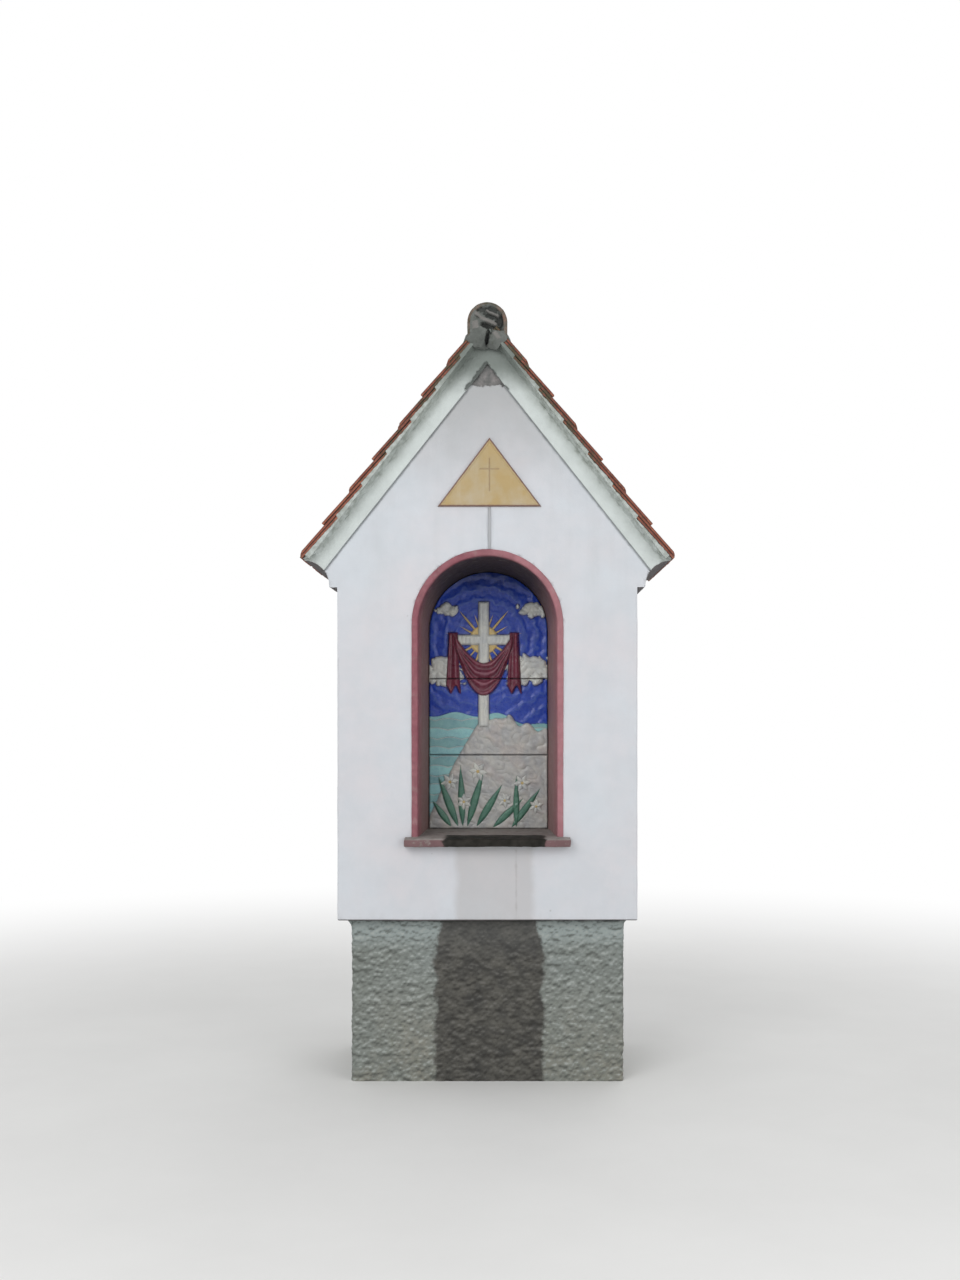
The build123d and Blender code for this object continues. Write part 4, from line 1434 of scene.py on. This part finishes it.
class SHRINE_OT_relief(bpy.types.Operator):
    """Model the three glazed slabs: sky and sun, a draped cross on a hill, water and lilies"""

    bl_idname = "shrine.relief"
    bl_label = "Glazed relief"

    def execute(self, context):
        settings = context.scene.shrine_niche
        cell = settings.relief_cell * 1.0
        half_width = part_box("lower_relief")[1].x - 0.001
        half_joint = 0.0015
        first, second = RELIEF_JOINTS
        bottoms = (NICHE_FLOOR + 0.001, first + half_joint, second + half_joint)
        tops = (first - half_joint, second - half_joint, NICHE_SPRING + half_width)
        columns = ceil(2 * half_width / cell)
        across = np.linspace(-1.0, 1.0, columns + 1)[None, :]
        for name, bottom, top in zip(("lower", "middle", "upper"), bottoms, tops):
            straight = min(top, NICHE_SPRING)
            levels = list(np.linspace(bottom, straight, ceil((straight - bottom) / cell) + 1))
            if top > NICHE_SPRING:
                turns = ceil(half_width * pi / 2 / cell)
                angles = [radians(88.5) * step / turns for step in range(1, turns + 1)]
                levels += [NICHE_SPRING + half_width * sin(angle) for angle in angles]
            z = np.array(levels)[:, None]
            inset = np.clip(z - NICHE_SPRING, 0.0, half_width)
            reach = np.sqrt(np.maximum(half_width**2 - inset**2, 1e-6))
            x = across * reach
            z = np.broadcast_to(z, x.shape)
            canvas = relief_canvas(x, z, settings.relief_lift)
            height = canvas.height
            # Slab edges stay low and rounded
            near_end = np.minimum(z - bottom, 1.0 if name == "upper" else top - z)
            side_gap = reach - np.abs(x)
            height = height - 0.004 * (1.0 - step_up(np.minimum(near_end, side_gap), 0.0, 0.004))
            spread = height
            for turn in range(6):
                padded = np.pad(spread, 1, mode="edge")
                spread = (padded[:-2, 1:-1] + padded[2:, 1:-1] + padded[1:-1, :-2] + padded[1:-1, 2:]) / 4
                if turn == 0:
                    nearby = spread
            hollow = np.clip((spread - height) / 0.0016, 0.0, 1.0)
            # Steep edges are evened out, so that they don't follow the grid in steps
            height = height + (nearby - height) * np.clip(np.abs(nearby - height) / 0.0012, 0.0, 0.85)
            front = grid_from(x, RELIEF_FACE + 0.004 - height, z)
            mesh, rim = backed_mesh(front, NICHE_BACK - 0.0005)
            glaze = np.ones((*x.shape, 4))
            glaze[..., :3] = canvas.glaze
            flat_glaze = glaze.reshape(-1, 4)
            stored = {
                "glaze": np.concatenate([flat_glaze, flat_glaze[rim]]),
                "hollow": np.concatenate([hollow.ravel(), np.ones(len(rim))]),
            }
            glazing = finish("Glazed Relief", glazed_relief)
            nodes = (f"{name}_relief",)
            place_piece(f"{name}_relief_skin", mesh, glazing, nodes, 60.0, stored)
        return {"FINISHED"}


class SHRINE_OT_plaque(bpy.types.Operator):
    """Cut the ochre triangle with its raised rim and a plain incised cross"""

    bl_idname = "shrine.plaque"
    bl_label = "Triangle plaque"

    def execute(self, context):
        low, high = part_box("triangle_plaque")
        cell = 0.0026
        rows = ceil((high.z - low.z) / cell)
        columns = ceil((high.x - low.x) / cell)
        z = np.linspace(low.z, high.z - 0.0015, rows + 1)[:, None]
        half = (high.x - low.x) / 2
        reach = half * (high.z - z) / (high.z - low.z)
        x = PLAQUE_SHIFT + np.linspace(-1.0, 1.0, columns + 1)[None, :] * reach
        z = np.broadcast_to(z, x.shape)
        slope = half / (high.z - low.z)
        side_gap = (reach - np.abs(x - PLAQUE_SHIFT)) / np.hypot(1.0, slope)
        gap = np.minimum(side_gap, z - low.z)
        ragged = 0.0010 * noise_field(x, z, 0.012, 3.0)
        height = 0.0100 - 0.0030 * step_up(gap + ragged, 0.0095, 0.0120)
        height -= 0.0050 * (1.0 - step_up(gap, 0.0, 0.0035)) ** 2
        post = bar(x, z, (PLAQUE_SHIFT, low.z + 0.060), (PLAQUE_SHIFT, low.z + 0.195), 0.0035)
        arms_level = low.z + 0.150
        arms = bar(x, z, (PLAQUE_SHIFT - 0.040, arms_level), (PLAQUE_SHIFT + 0.040, arms_level), 0.0035)
        mark = step_up(-(np.minimum(post, arms) + ragged), -0.0005, 0.0025)
        height = height - 0.0022 * mark + 0.0005 * noise_field(x, z, 0.030, 8.0)
        mesh, rim = backed_mesh(grid_from(x, FRONT - height, z), FRONT + 0.003)
        edge = 1.0 - step_up(gap + 1.6 * ragged, 0.0045, 0.0075)
        stored = {
            "edge": np.concatenate([edge.ravel(), np.ones(len(rim))]),
            "line": np.concatenate([mark.ravel(), np.zeros(len(rim))]),
        }
        paint = finish("Ochre Paint", ochre_paint)
        place_piece("plaque_skin", mesh, paint, ("triangle_plaque",), 50.0, stored)
        return {"FINISHED"}


class SHRINE_OT_bands(bpy.types.Operator):
    """Lay the raking bands on both gables, with lumpy pointing under the verge tiles"""

    bl_idname = "shrine.bands"
    bl_label = "Raking bands"

    def execute(self, context):
        render = finish("Band Render", band_render)
        for end, facing in (("front", -1), ("rear", 1)):
            nodes = (f"{end}_left_raking_band", f"{end}_right_raking_band")
            skin = joined_solids(nodes)

            def inner_edge(start, stop, facing=facing):
                level = facing * (BODY_HALF_DEPTH + 0.012)
                on_face = abs(start.y - level) < 1e-4 and abs(stop.y - level) < 1e-4
                low = all(self.drop(point) > 0.030 for point in (start, stop))
                return on_face and low

            def chipped(point, facing=facing):
                return facing < 0 and point.y < FRONT - 0.002 and near_tip(point, BAND_TIP)

            round_edges(skin, 0.004, inner_edge)
            cut_lattice(skin, 2, 2.0, 3.02, 0.012)
            cut_lattice(skin, 0, -CORNICE_HALF_WIDTH, CORNICE_HALF_WIDTH, 0.012)
            cut_lattice(skin, 1, -0.452, 0.452, 0.010)
            cut_tip(skin, BAND_TIP, 0.0036, chipped)
            skin.normal_update()
            moves = []
            bare = []
            for vert in skin.verts:
                point = vert.co
                drop = self.drop(point)
                flat = 0.0013 * noise.noise(point / 0.16) + 0.0006 * noise.noise(point / 0.03)
                lumpy = 0.0034 * noise.noise(point / 0.022) + 0.0018 * noise.noise(point / 0.009)
                near_tiles = clamp((0.060 - drop) / 0.03)
                hidden = drop < 0.001 or abs(point.y) < BODY_HALF_DEPTH + 0.002
                move = 0.0 if hidden else flat + lumpy * near_tiles
                chip = self.chip(point) if chipped(point) else 0.0
                bare.append(chip)
                moves.append(vert.normal * move + Vector((0.0, 0.009 * chip, 0.0)))
            for vert, move in zip(skin.verts, moves):
                vert.co += move
            stored = {"bare": np.array(bare)}
            place_piece(f"{end}_band_skin", skin, render, nodes, stored=stored)
        sheets = [self.pointing(side, facing) for facing in (-1, 1) for side in (-1, 1)]
        place_piece("verge_pointing", closed_mesh(sheets), render, angle=60.0)
        return {"FINISHED"}

    def drop(self, point):
        """How far a point lies under the plane of the roof, square to it."""
        return (DECK_APEX - abs(point.x) * tan(PITCH) - point.z) * cos(PITCH)

    def chip(self, point):
        """How far the lower edge is broken away at a point near the tip of the gable."""
        rise = point.z + abs(point.x) * BAND_FALL - BAND_INNER_APEX
        reach = 0.019 if point.x < 0.0 else 0.003
        reach += 0.013 * noise.noise(point / 0.017) + 0.005 * noise.noise(point / 0.006)
        return clamp((reach - rise) / 0.004)

    def pointing(self, side, facing):
        """Ragged mortar pushed in under the lowest tiles of one verge."""
        run = np.arange(0.020, 1.115, 0.005)[:, None]
        share = np.array([0.0, 0.35, 0.7, 0.92, 1.0])[None, :]
        first_head = TILE_LENGTH * cos(TILT) - TILE_GAUGE
        laps = np.maximum(np.ceil((run - first_head) / TILE_GAUGE), 0.0)
        gap = (first_head + laps * TILE_GAUGE - run) * tan(TILT)
        ragged = noise_field(run, run * 0.0, 0.018, side * 4.0 + facing, 2)
        height = gap + (0.0030 if side < 0 else 0.0012) + 0.0022 * ragged
        up = -0.004 + share * (np.maximum(height, 0.0005) + 0.004)
        x = side * (DECK_X - run * cos(PITCH) + up * sin(PITCH))
        z = DECK_Z + run * sin(PITCH) + up * cos(PITCH)
        lumps = 0.0012 * noise_field(run + up * 0.0, up, 0.012, side * 7.0)
        proud = 0.0018 + lumps - 0.0030 * share**6
        y = facing * (ROOF_HALF_DEPTH + proud)
        return grid_from(x, y, z), grid_from(x, facing * (ROOF_HALF_DEPTH - 0.012), z)


class SHRINE_OT_tiles(bpy.types.Operator):
    """Hang the plain tiles one by one, in double lap and half bond"""

    bl_idname = "shrine.tiles"
    bl_label = "Roof tiles"

    def execute(self, context):
        settings = context.scene.shrine_roof
        rng = random.Random(settings.seed)
        clay = finish("Roof Tile", roof_tile)
        for side, name in ((-1, "left"), (1, "right")):
            sheets = []
            tones = []
            alongs = []
            levels = []
            for course in range(-1, COURSE_COUNT):
                for centre, width in self.row(course, settings.tile_width):
                    front, back, along = self.tile(side, course, centre, width, settings, rng)
                    sheets.append((front, back))
                    tone = clamp(rng.gauss(0.46, 0.20))
                    tones.append(np.full(2 * along.size, tone))
                    alongs.append(np.concatenate([along.ravel(), along.ravel()]))
                    levels.append(np.repeat([1.0, 0.0], along.size))
            mesh = closed_mesh(sheets)
            stored = {
                "tone": np.concatenate(tones),
                "along": np.concatenate(alongs),
                "level": np.concatenate(levels),
            }
            nodes = [f"{name}_eave_tiles"]
            nodes += [f"{name}_tile_course_{number + 1}" for number in range(COURSE_COUNT)]
            place_piece(f"{name}_slope_tiles", mesh, clay, nodes, 42.0, stored)
        return {"FINISHED"}

    def row(self, course, width):
        """Centres and widths of the tiles in a course, broken by half a tile in every other one."""
        count = round(2 * ROOF_HALF_DEPTH / width)
        width = 2 * ROOF_HALF_DEPTH / count
        if course % 2 == 0:
            return [(-ROOF_HALF_DEPTH + width * (number + 0.5), width) for number in range(count)]
        row = [(-ROOF_HALF_DEPTH + width / 4, width / 2)]
        row += [(-ROOF_HALF_DEPTH + width * (number + 1), width) for number in range(count - 1)]
        return row + [(ROOF_HALF_DEPTH - width / 4, width / 2)]

    def tile(self, side, course, centre, width, settings, rng):
        """Upper and lower grids of one tile, and how far each point is from the tail."""
        start = TILE_GAUGE * cos(TILT) if course < 0 else 0.0
        room = (DECK_X - 0.016) / cos(PITCH) - course * TILE_GAUGE
        end = min(TILE_LENGTH, room)
        clear = width - settings.tile_joint
        inset = 0.0022
        full = settings.tile_width * 0.95
        columns = 15 if width > full else 9
        across = np.concatenate(
            [[-clear / 2], np.linspace(-clear / 2 + inset, clear / 2 - inset, columns), [clear / 2]]
        )[None, :]
        rows = max(8, round((end - start) / 0.020))
        length = end - start
        share = np.concatenate([[0.0], np.linspace(inset, length - inset, rows), [length]])[:, None]
        cut = settings.tail_curve * (2 * across / settings.tile_width) ** 2
        if width < full:
            lean = 1.0 if centre < 0 else -1.0
            cut = settings.tail_curve * (0.5 * (1.0 + lean * 2 * across / width)) ** 2
        if course < 0:
            cut = cut * 0.0
        worn = [noise.noise(Vector((value / 0.02, course, centre * 9))) for value in across[0]]
        cut = cut + 0.0010 * np.array([worn])
        if rng.random() < 0.4:
            place = rng.uniform(-clear / 2, clear / 2)
            size = rng.uniform(0.006, 0.014)
            bite = rng.uniform(0.003, 0.008)
            cut = cut + bite * np.exp(-(((across - place) / size) ** 2))
        cut = np.maximum(cut, 0.0)
        along = start + cut + share * (length - cut) / length
        crown = 0.0012 * (1.0 - (2 * across / clear) ** 2) + 0.0006 * np.sin(pi * share / length)
        twist = rng.uniform(-0.0010, 0.0010) * (2 * across / clear) * (1.0 - 2 * share / length)
        lift = rng.uniform(0.0, 0.0007)
        lie = crown + twist + lift
        edge = np.ones_like(along)
        edge[:, 0] = edge[:, -1] = edge[0, :] = edge[-1, :] = 0.0
        thickness = TILE_THICKNESS - 0.0004
        top = lie + thickness - 0.0020 * (1.0 - edge)
        bottom = lie + 0.0020 * (1.0 - edge)
        slip = rng.uniform(-0.0025, 0.0025)
        shift = rng.uniform(-0.0006, 0.0006)
        turn = rng.uniform(-0.006, 0.006)
        y = centre + across + shift + turn * (along - start) * 0.5
        y = np.clip(y, -ROOF_HALF_DEPTH - 0.003, ROOF_HALF_DEPTH + 0.003)
        along = along + slip + turn * across
        surface = 0.0004 * noise_field(np.broadcast_to(y, along.shape), along + course, 0.03, side * 3.0)
        top_x, top_z = tile_point(side, course, along, top + surface)
        low_x, low_z = tile_point(side, course, along, bottom)
        return grid_from(top_x, y, top_z), grid_from(low_x, y, low_z), along


class SHRINE_OT_ridge(bpy.types.Operator):
    """Bed three half-round ridge tiles in mortar along the top"""

    bl_idname = "shrine.ridge"
    bl_label = "Ridge"

    # How deep the hollows in the front mortar are open
    OPEN_DEPTH = 0.034
    # Middle, half width, half height, lean and strength of each hollow in the front mortar
    HOLLOWS = (
        (-0.033, 3.054, 0.020, 0.008, 0.5, 0.45),
        (0.004, 3.078, 0.052, 0.015, 0.12, 0.60),
        (0.018, 3.054, 0.034, 0.012, 0.25, 0.70),
        (0.052, 3.036, 0.022, 0.030, 0.20, 0.85),
        (-0.003, 3.018, 0.024, 0.012, 0.20, 0.85),
        (0.034, 3.008, 0.028, 0.010, 0.20, 0.80),
        (0.010, 2.998, 0.010, 0.016, 0.10, 0.80),
        (0.0005, 2.972, 0.0085, 0.029, 0.16, 0.95),
    )
    # Start, end and half width of the paler trowel strokes beside them
    STROKES = (
        ((-0.006, 3.077), (0.046, 3.053), 0.0050),
        ((-0.048, 3.068), (-0.016, 3.042), 0.0065),
        ((-0.018, 3.043), (0.038, 3.020), 0.0065),
        ((0.027, 2.992), (0.047, 2.964), 0.0080),
        ((-0.050, 3.036), (-0.046, 3.006), 0.0120),
    )

    def execute(self, context):
        for number, name in enumerate(("front", "middle", "rear")):
            low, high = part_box(f"{name}_ridge_tile")
            self.cap(name, low.y, high.y, number)
        mortar = finish("Bedding Mortar", bedding_mortar)
        self.bedding(mortar)
        # The core is cut back at the front, where hollows are left open in the mortar
        core = joined_solids(("ridge_mortar",))
        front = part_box("ridge_mortar")[0].y
        for vert in core.verts:
            if vert.co.y < front + 0.001:
                vert.co.y = self.OPEN_DEPTH - ROOF_HALF_DEPTH - 0.004
        place_piece("ridge_core", core, mortar, ("ridge_mortar",))
        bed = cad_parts["roof_mortar_bed"].data
        bed.materials.clear()
        bed.materials.append(mortar)
        return {"FINISHED"}

    def section(self, radius, inner):
        """Half-round outline with straight legs, from one foot over to the other."""
        foot = roof_top(RIDGE_INNER_RADIUS if inner else RIDGE_RADIUS) + 0.0015
        legs = np.linspace(foot, RIDGE_CENTRE, 6)[:-1]
        side = np.full(len(legs), radius)
        turns = np.linspace(pi, 0.0, 29)
        x = np.concatenate([-side, radius * np.cos(turns), side])
        z = np.concatenate([legs, RIDGE_CENTRE + radius * np.sin(turns), legs[::-1]])
        return x, z

    def cap(self, name, low, high, number):
        """One ridge tile with a rounded lip at each end."""
        stations = np.concatenate([[0.0, 0.0012, 0.004], np.linspace(0.014, high - low - 0.014, 26)])
        stations = np.concatenate([stations, high - low - np.array([0.004, 0.0012, 0.0])])
        y = (low + stations)[:, None]
        thin = np.zeros(len(stations))
        thin[[0, -1]] = 0.0035
        thin[[1, -2]] = 0.0016
        thin = thin[:, None]
        outer_x, outer_z = self.section(RIDGE_RADIUS, False)
        inner_x, inner_z = self.section(RIDGE_INNER_RADIUS, True)
        turn = np.arctan2(outer_z - RIDGE_CENTRE, outer_x)
        out_x = np.cos(turn)
        out_z = np.maximum(np.sin(turn), 0.0)
        outer = grid_from(outer_x - thin * out_x, y, outer_z - thin * out_z)
        inner = grid_from(inner_x + thin * out_x * 0.6, y, inner_z + thin * out_z * 0.6)
        skin = skin_from(closed_mesh([(outer, inner)]))
        roughen(skin, ((0.10, 0.0016, 4.0 + number), (0.028, 0.0011, 7.0), (0.011, 0.0007, 2.0)))
        clay = finish("Ridge Tile", ridge_tile)
        place_piece(f"{name}_ridge_skin", skin, clay, (f"{name}_ridge_tile",), 50.0)

    def bedding(self, mortar):
        """Mortar beads at the joints, fillets along the feet and a smear over each end."""
        sheets = []
        outer_x, outer_z = self.section(RIDGE_RADIUS + 0.0015, False)
        deep_x, deep_z = self.section(RIDGE_RADIUS - 0.004, False)
        length = 2 * ROOF_HALF_DEPTH / 3
        # A bead round each joint
        for joint in (-ROOF_HALF_DEPTH + length, -ROOF_HALF_DEPTH + 2 * length):
            y = joint + np.linspace(-0.010, 0.010, 7)[:, None]
            swell = np.array([0.0, 0.7, 1.0, 1.0, 1.0, 0.7, 0.0])[:, None]
            width = np.array([noise.noise(Vector((value * 60, joint * 9, 0))) for value in outer_x])[None, :]
            y = joint + (y - joint) * (1.0 + 0.5 * width)
            grow = 1.0 + 0.022 * swell
            bead = grid_from(outer_x * grow, y, RIDGE_CENTRE + (outer_z - RIDGE_CENTRE) * grow)
            core = grid_from(deep_x, joint + (y - joint) * 0.9, deep_z)
            sheets.append((bead, core))
        # A fillet along each foot
        stations = np.linspace(-ROOF_HALF_DEPTH + 0.004, ROOF_HALF_DEPTH - 0.004, 120)
        for side in (-1, 1):
            toe = []
            core = []
            for y in stations:
                reach = 0.016 + 0.007 * noise.noise(Vector((y / 0.03, side * 5.0, 1.0)))
                height = 0.017 + 0.008 * noise.noise(Vector((y / 0.04, side * 9.0, 4.0)))
                toe_x = RIDGE_RADIUS + reach
                toe_z = roof_top(toe_x) - 0.001
                head_z = roof_top(RIDGE_RADIUS) + height
                row = []
                base = []
                for step in range(6):
                    share = step / 5
                    x = toe_x + (RIDGE_RADIUS - 0.001 - toe_x) * share
                    z = toe_z + (head_z - toe_z) * share + 0.0045 * sin(pi * share)
                    lump = 0.0018 * noise.noise(Vector((y / 0.011, share * 3.0, side * 2.0)))
                    row.append((side * (x + lump), y, z + lump))
                    under_z = roof_top(x - 0.004) - 0.006
                    base.append((side * (x - 0.004), y, min(under_z, z - 0.003)))
                toe.append(row)
                core.append(base)
            sheets.append((np.array(toe), np.array(core)))
        stored = {"hollow": [], "pale": []}
        for front, back in sheets:
            for values in stored.values():
                values.append(np.zeros(2 * front.shape[0] * front.shape[1]))
        for facing in (-1, 1):
            front, back, hollow, pale = self.smear(facing)
            sheets.append((front, back))
            stored["hollow"] += [hollow.ravel(), np.zeros(hollow.size)]
            stored["pale"] += [pale.ravel(), np.zeros(pale.size)]
        stored = {name: np.concatenate(values) for name, values in stored.items()}
        mesh = closed_mesh(sheets)
        place_piece("ridge_mortar_skin", mesh, mortar, angle=60.0, stored=stored)

    def inside_smear(self, x, z):
        """Whether the mortar over the end of the ridge reaches a point."""
        if z > RIDGE_CENTRE:
            return np.hypot(x, z - RIDGE_CENTRE) < RIDGE_INNER_RADIUS + 0.004
        if z > GABLE_TIP:
            return abs(x) < RIDGE_INNER_RADIUS + 0.004
        roof = roof_top(abs(x)) + 0.003
        half = 0.080 - max(0.0, 2.962 - z) * 1.1
        foot = 2.932 + 0.014 * noise.noise(Vector((x / 0.035, 1.7, 2.3)))
        return z < roof and abs(x + 0.004) < half and z > foot

    def smear(self, facing):
        """Mortar thrown over the end of the ridge, with open hollows in it on the front."""
        middle = 2.985
        turns = np.linspace(0.0, 2 * pi, 177)[:, None]
        share = np.concatenate([np.linspace(0.0, 0.94, 38), [0.97, 0.99, 1.0]])[None, :]
        reach = []
        for turn in turns[:, 0]:
            out_x = cos(turn)
            out_z = sin(turn)
            limit = 0.001
            while self.inside_smear(limit * out_x, middle + limit * out_z):
                limit += 0.001
            ragged = 0.004 * noise.noise(Vector((out_x * 2.5, out_z * 2.5, facing)))
            low = middle + limit * out_z < RIDGE_CENTRE - 0.02
            reach.append(limit + (ragged if low else 0.0))
        reach[-1] = reach[0]
        reach = np.array(reach)[:, None]
        x = share * reach * np.cos(turns)
        z = middle + share * reach * np.sin(turns)
        crown = 0.0065 * (1.0 - share**5) + 0.0015
        lumps = 0.0030 * noise_field(x, z, 0.024, 3.0 * facing) + 0.0014 * noise_field(x, z, 0.009, 6.0)
        proud = np.maximum(crown + lumps * (1.0 - share**3), 0.0012)
        # Below the tiles it runs out flush with the raking bands
        below = DECK_APEX - np.abs(x) * tan(PITCH) - z
        proud = proud - 0.0085 * step_up(below, 0.0, 0.045) - 0.030 * step_up(below, 0.045, 0.095)
        hollow = np.zeros_like(x)
        pale = np.zeros_like(x)
        if facing < 0:
            ragged = noise_field(x, z, 0.012, 2.0, 2)
            for middle_x, middle_z, half_x, half_z, lean, strength in self.HOLLOWS:
                across = (x - middle_x) * cos(lean) - (z - middle_z) * sin(lean)
                up = (x - middle_x) * sin(lean) + (z - middle_z) * cos(lean)
                distance = np.hypot(across / half_x, up / half_z) - 1.0 + 0.45 * ragged
                hollow = np.maximum(hollow, strength * (1.0 - step_up(distance, -0.45, 0.25)))
            for start, end, half_width in self.STROKES:
                edge = bar(x, z, start, end, half_width) + 0.003 * ragged
                pale = np.maximum(pale, 1.0 - step_up(edge, -0.003, 0.003))
            hollow = hollow * (1.0 - 0.85 * pale)
            proud = proud + 0.0022 * pale * (1.0 - hollow) - (self.OPEN_DEPTH - 0.010) * hollow
        y = facing * (ROOF_HALF_DEPTH + proud - 0.001)
        depth = self.OPEN_DEPTH if facing < 0 else 0.016
        back = facing * (ROOF_HALF_DEPTH - np.maximum(depth, 0.007 - proud))
        return grid_from(x, y, z), grid_from(x, back, z), hollow, pale


class SHRINE_OT_stage(bpy.types.Operator):
    """Set the pale floor, the soft light and the camera in front"""

    bl_idname = "shrine.stage"
    bl_label = "Stage"

    def execute(self, context):
        settings = context.scene.shrine_stage
        self.floor()
        self.sky(settings.daylight)
        self.lamp("key_lamp", (-2.9, -6.0, 4.4), 1.5, settings.key)
        self.lamp("fill_lamp", (3.6, -5.0, 2.6), 1.5, settings.key * 0.44)
        self.lamp("rear_lamp", (1.5, 5.2, 5.0), 1.8, settings.key * 0.45)
        self.camera(settings)
        context.scene.view_settings.view_transform = "Standard"
        return {"FINISHED"}

    def floor(self):
        """A pale round floor that fades into the white around it."""
        skin = bmesh.new()
        bmesh.ops.create_circle(skin, cap_ends=True, radius=16.0, segments=96)
        mesh = bpy.data.meshes.new("floor")
        skin.to_mesh(mesh)
        skin.free()
        floor = bpy.data.objects.new("floor", mesh)
        bpy.context.scene.collection.objects.link(floor)
        mesh.materials.append(finish("Pale Floor", pale_floor))

    def sky(self, daylight):
        """Even light all round, seen as plain white."""
        world = bpy.data.worlds.new("Even Light")
        bpy.context.scene.world = world
        world.use_nodes = True
        world.node_tree.nodes.clear()
        wiring = Wiring(world.node_tree)
        strength = wiring.remap(wiring.seen(), 0.0, 1.0, daylight, 1.0)
        glow = wiring.node("Background", {"Color": (1.0, 1.0, 1.0), "Strength": strength})
        output = wiring.node("OutputWorld")
        wiring.feed(output.inputs["Surface"], glow.outputs[0])

    def lamp(self, name, place, level, power):
        """A large square lamp turned to the shrine's axis at a level."""
        light = bpy.data.lights.new(name, "AREA")
        light.shape = "SQUARE"
        light.size = 4.0
        light.energy = power
        lamp = bpy.data.objects.new(name, light)
        lamp.location = place
        ahead = Vector((0.0, 0.0, level)) - lamp.location
        lamp.rotation_euler = ahead.to_track_quat("-Z", "Y").to_euler()
        bpy.context.scene.collection.objects.link(lamp)

    def camera(self, settings):
        """The viewer's place in front of the shrine, level and at eye height."""
        lens = bpy.data.cameras.new("camera")
        lens.lens = settings.lens
        lens.sensor_width = 36.0
        lens.sensor_height = 36.0
        lens.sensor_fit = "VERTICAL"
        lens.shift_x = -0.016
        lens.shift_y = 0.059
        camera = bpy.data.objects.new("camera", lens)
        camera.location = (0.052, -settings.distance, 1.475)
        camera.rotation_euler = (pi / 2, 0.0, 0.0)
        bpy.context.scene.collection.objects.link(camera)
        bpy.context.scene.camera = camera


class SHRINE_PT_panel(bpy.types.Panel):
    """The pieces of the shrine, in the order they are made"""

    bl_idname = "SHRINE_PT_panel"
    bl_label = "Wayside Shrine"
    bl_space_type = "VIEW_3D"
    bl_region_type = "UI"
    bl_category = "Shrine"

    def draw(self, context):
        for operator in OPERATORS:
            self.layout.operator(operator.bl_idname)
        for name in SETTINGS:
            group = getattr(context.scene, name)
            box = self.layout.box()
            for label in group.bl_rna.properties.keys():
                if label not in ("rna_type", "name"):
                    box.prop(group, label)


SETTINGS = {
    "shrine_walls": WallSettings,
    "shrine_niche": NicheSettings,
    "shrine_roof": RoofSettings,
    "shrine_colours": FinishColours,
    "shrine_stage": StageSettings,
}
OPERATORS = (
    SHRINE_OT_walls,
    SHRINE_OT_plinth,
    SHRINE_OT_surround,
    SHRINE_OT_sill,
    SHRINE_OT_relief,
    SHRINE_OT_plaque,
    SHRINE_OT_bands,
    SHRINE_OT_tiles,
    SHRINE_OT_ridge,
    SHRINE_OT_stage,
)


def register():
    """Adds the settings, the operators and the panel."""
    for name, group in SETTINGS.items():
        bpy.utils.register_class(group)
        setattr(bpy.types.Scene, name, PointerProperty(type=group))
    for operator in OPERATORS:
        bpy.utils.register_class(operator)
    bpy.utils.register_class(SHRINE_PT_panel)


def unregister():
    """Takes them out again, in turn."""
    bpy.utils.unregister_class(SHRINE_PT_panel)
    for operator in reversed(OPERATORS):
        bpy.utils.unregister_class(operator)
    for name, group in SETTINGS.items():
        delattr(bpy.types.Scene, name)
        bpy.utils.unregister_class(group)


def main():
    """Makes every piece."""
    register()
    bpy.ops.shrine.walls()
    bpy.ops.shrine.plinth()
    bpy.ops.shrine.surround()
    bpy.ops.shrine.sill()
    bpy.ops.shrine.relief()
    bpy.ops.shrine.plaque()
    bpy.ops.shrine.bands()
    bpy.ops.shrine.tiles()
    bpy.ops.shrine.ridge()
    bpy.ops.shrine.stage()


if __name__ == "__main__":
    main()
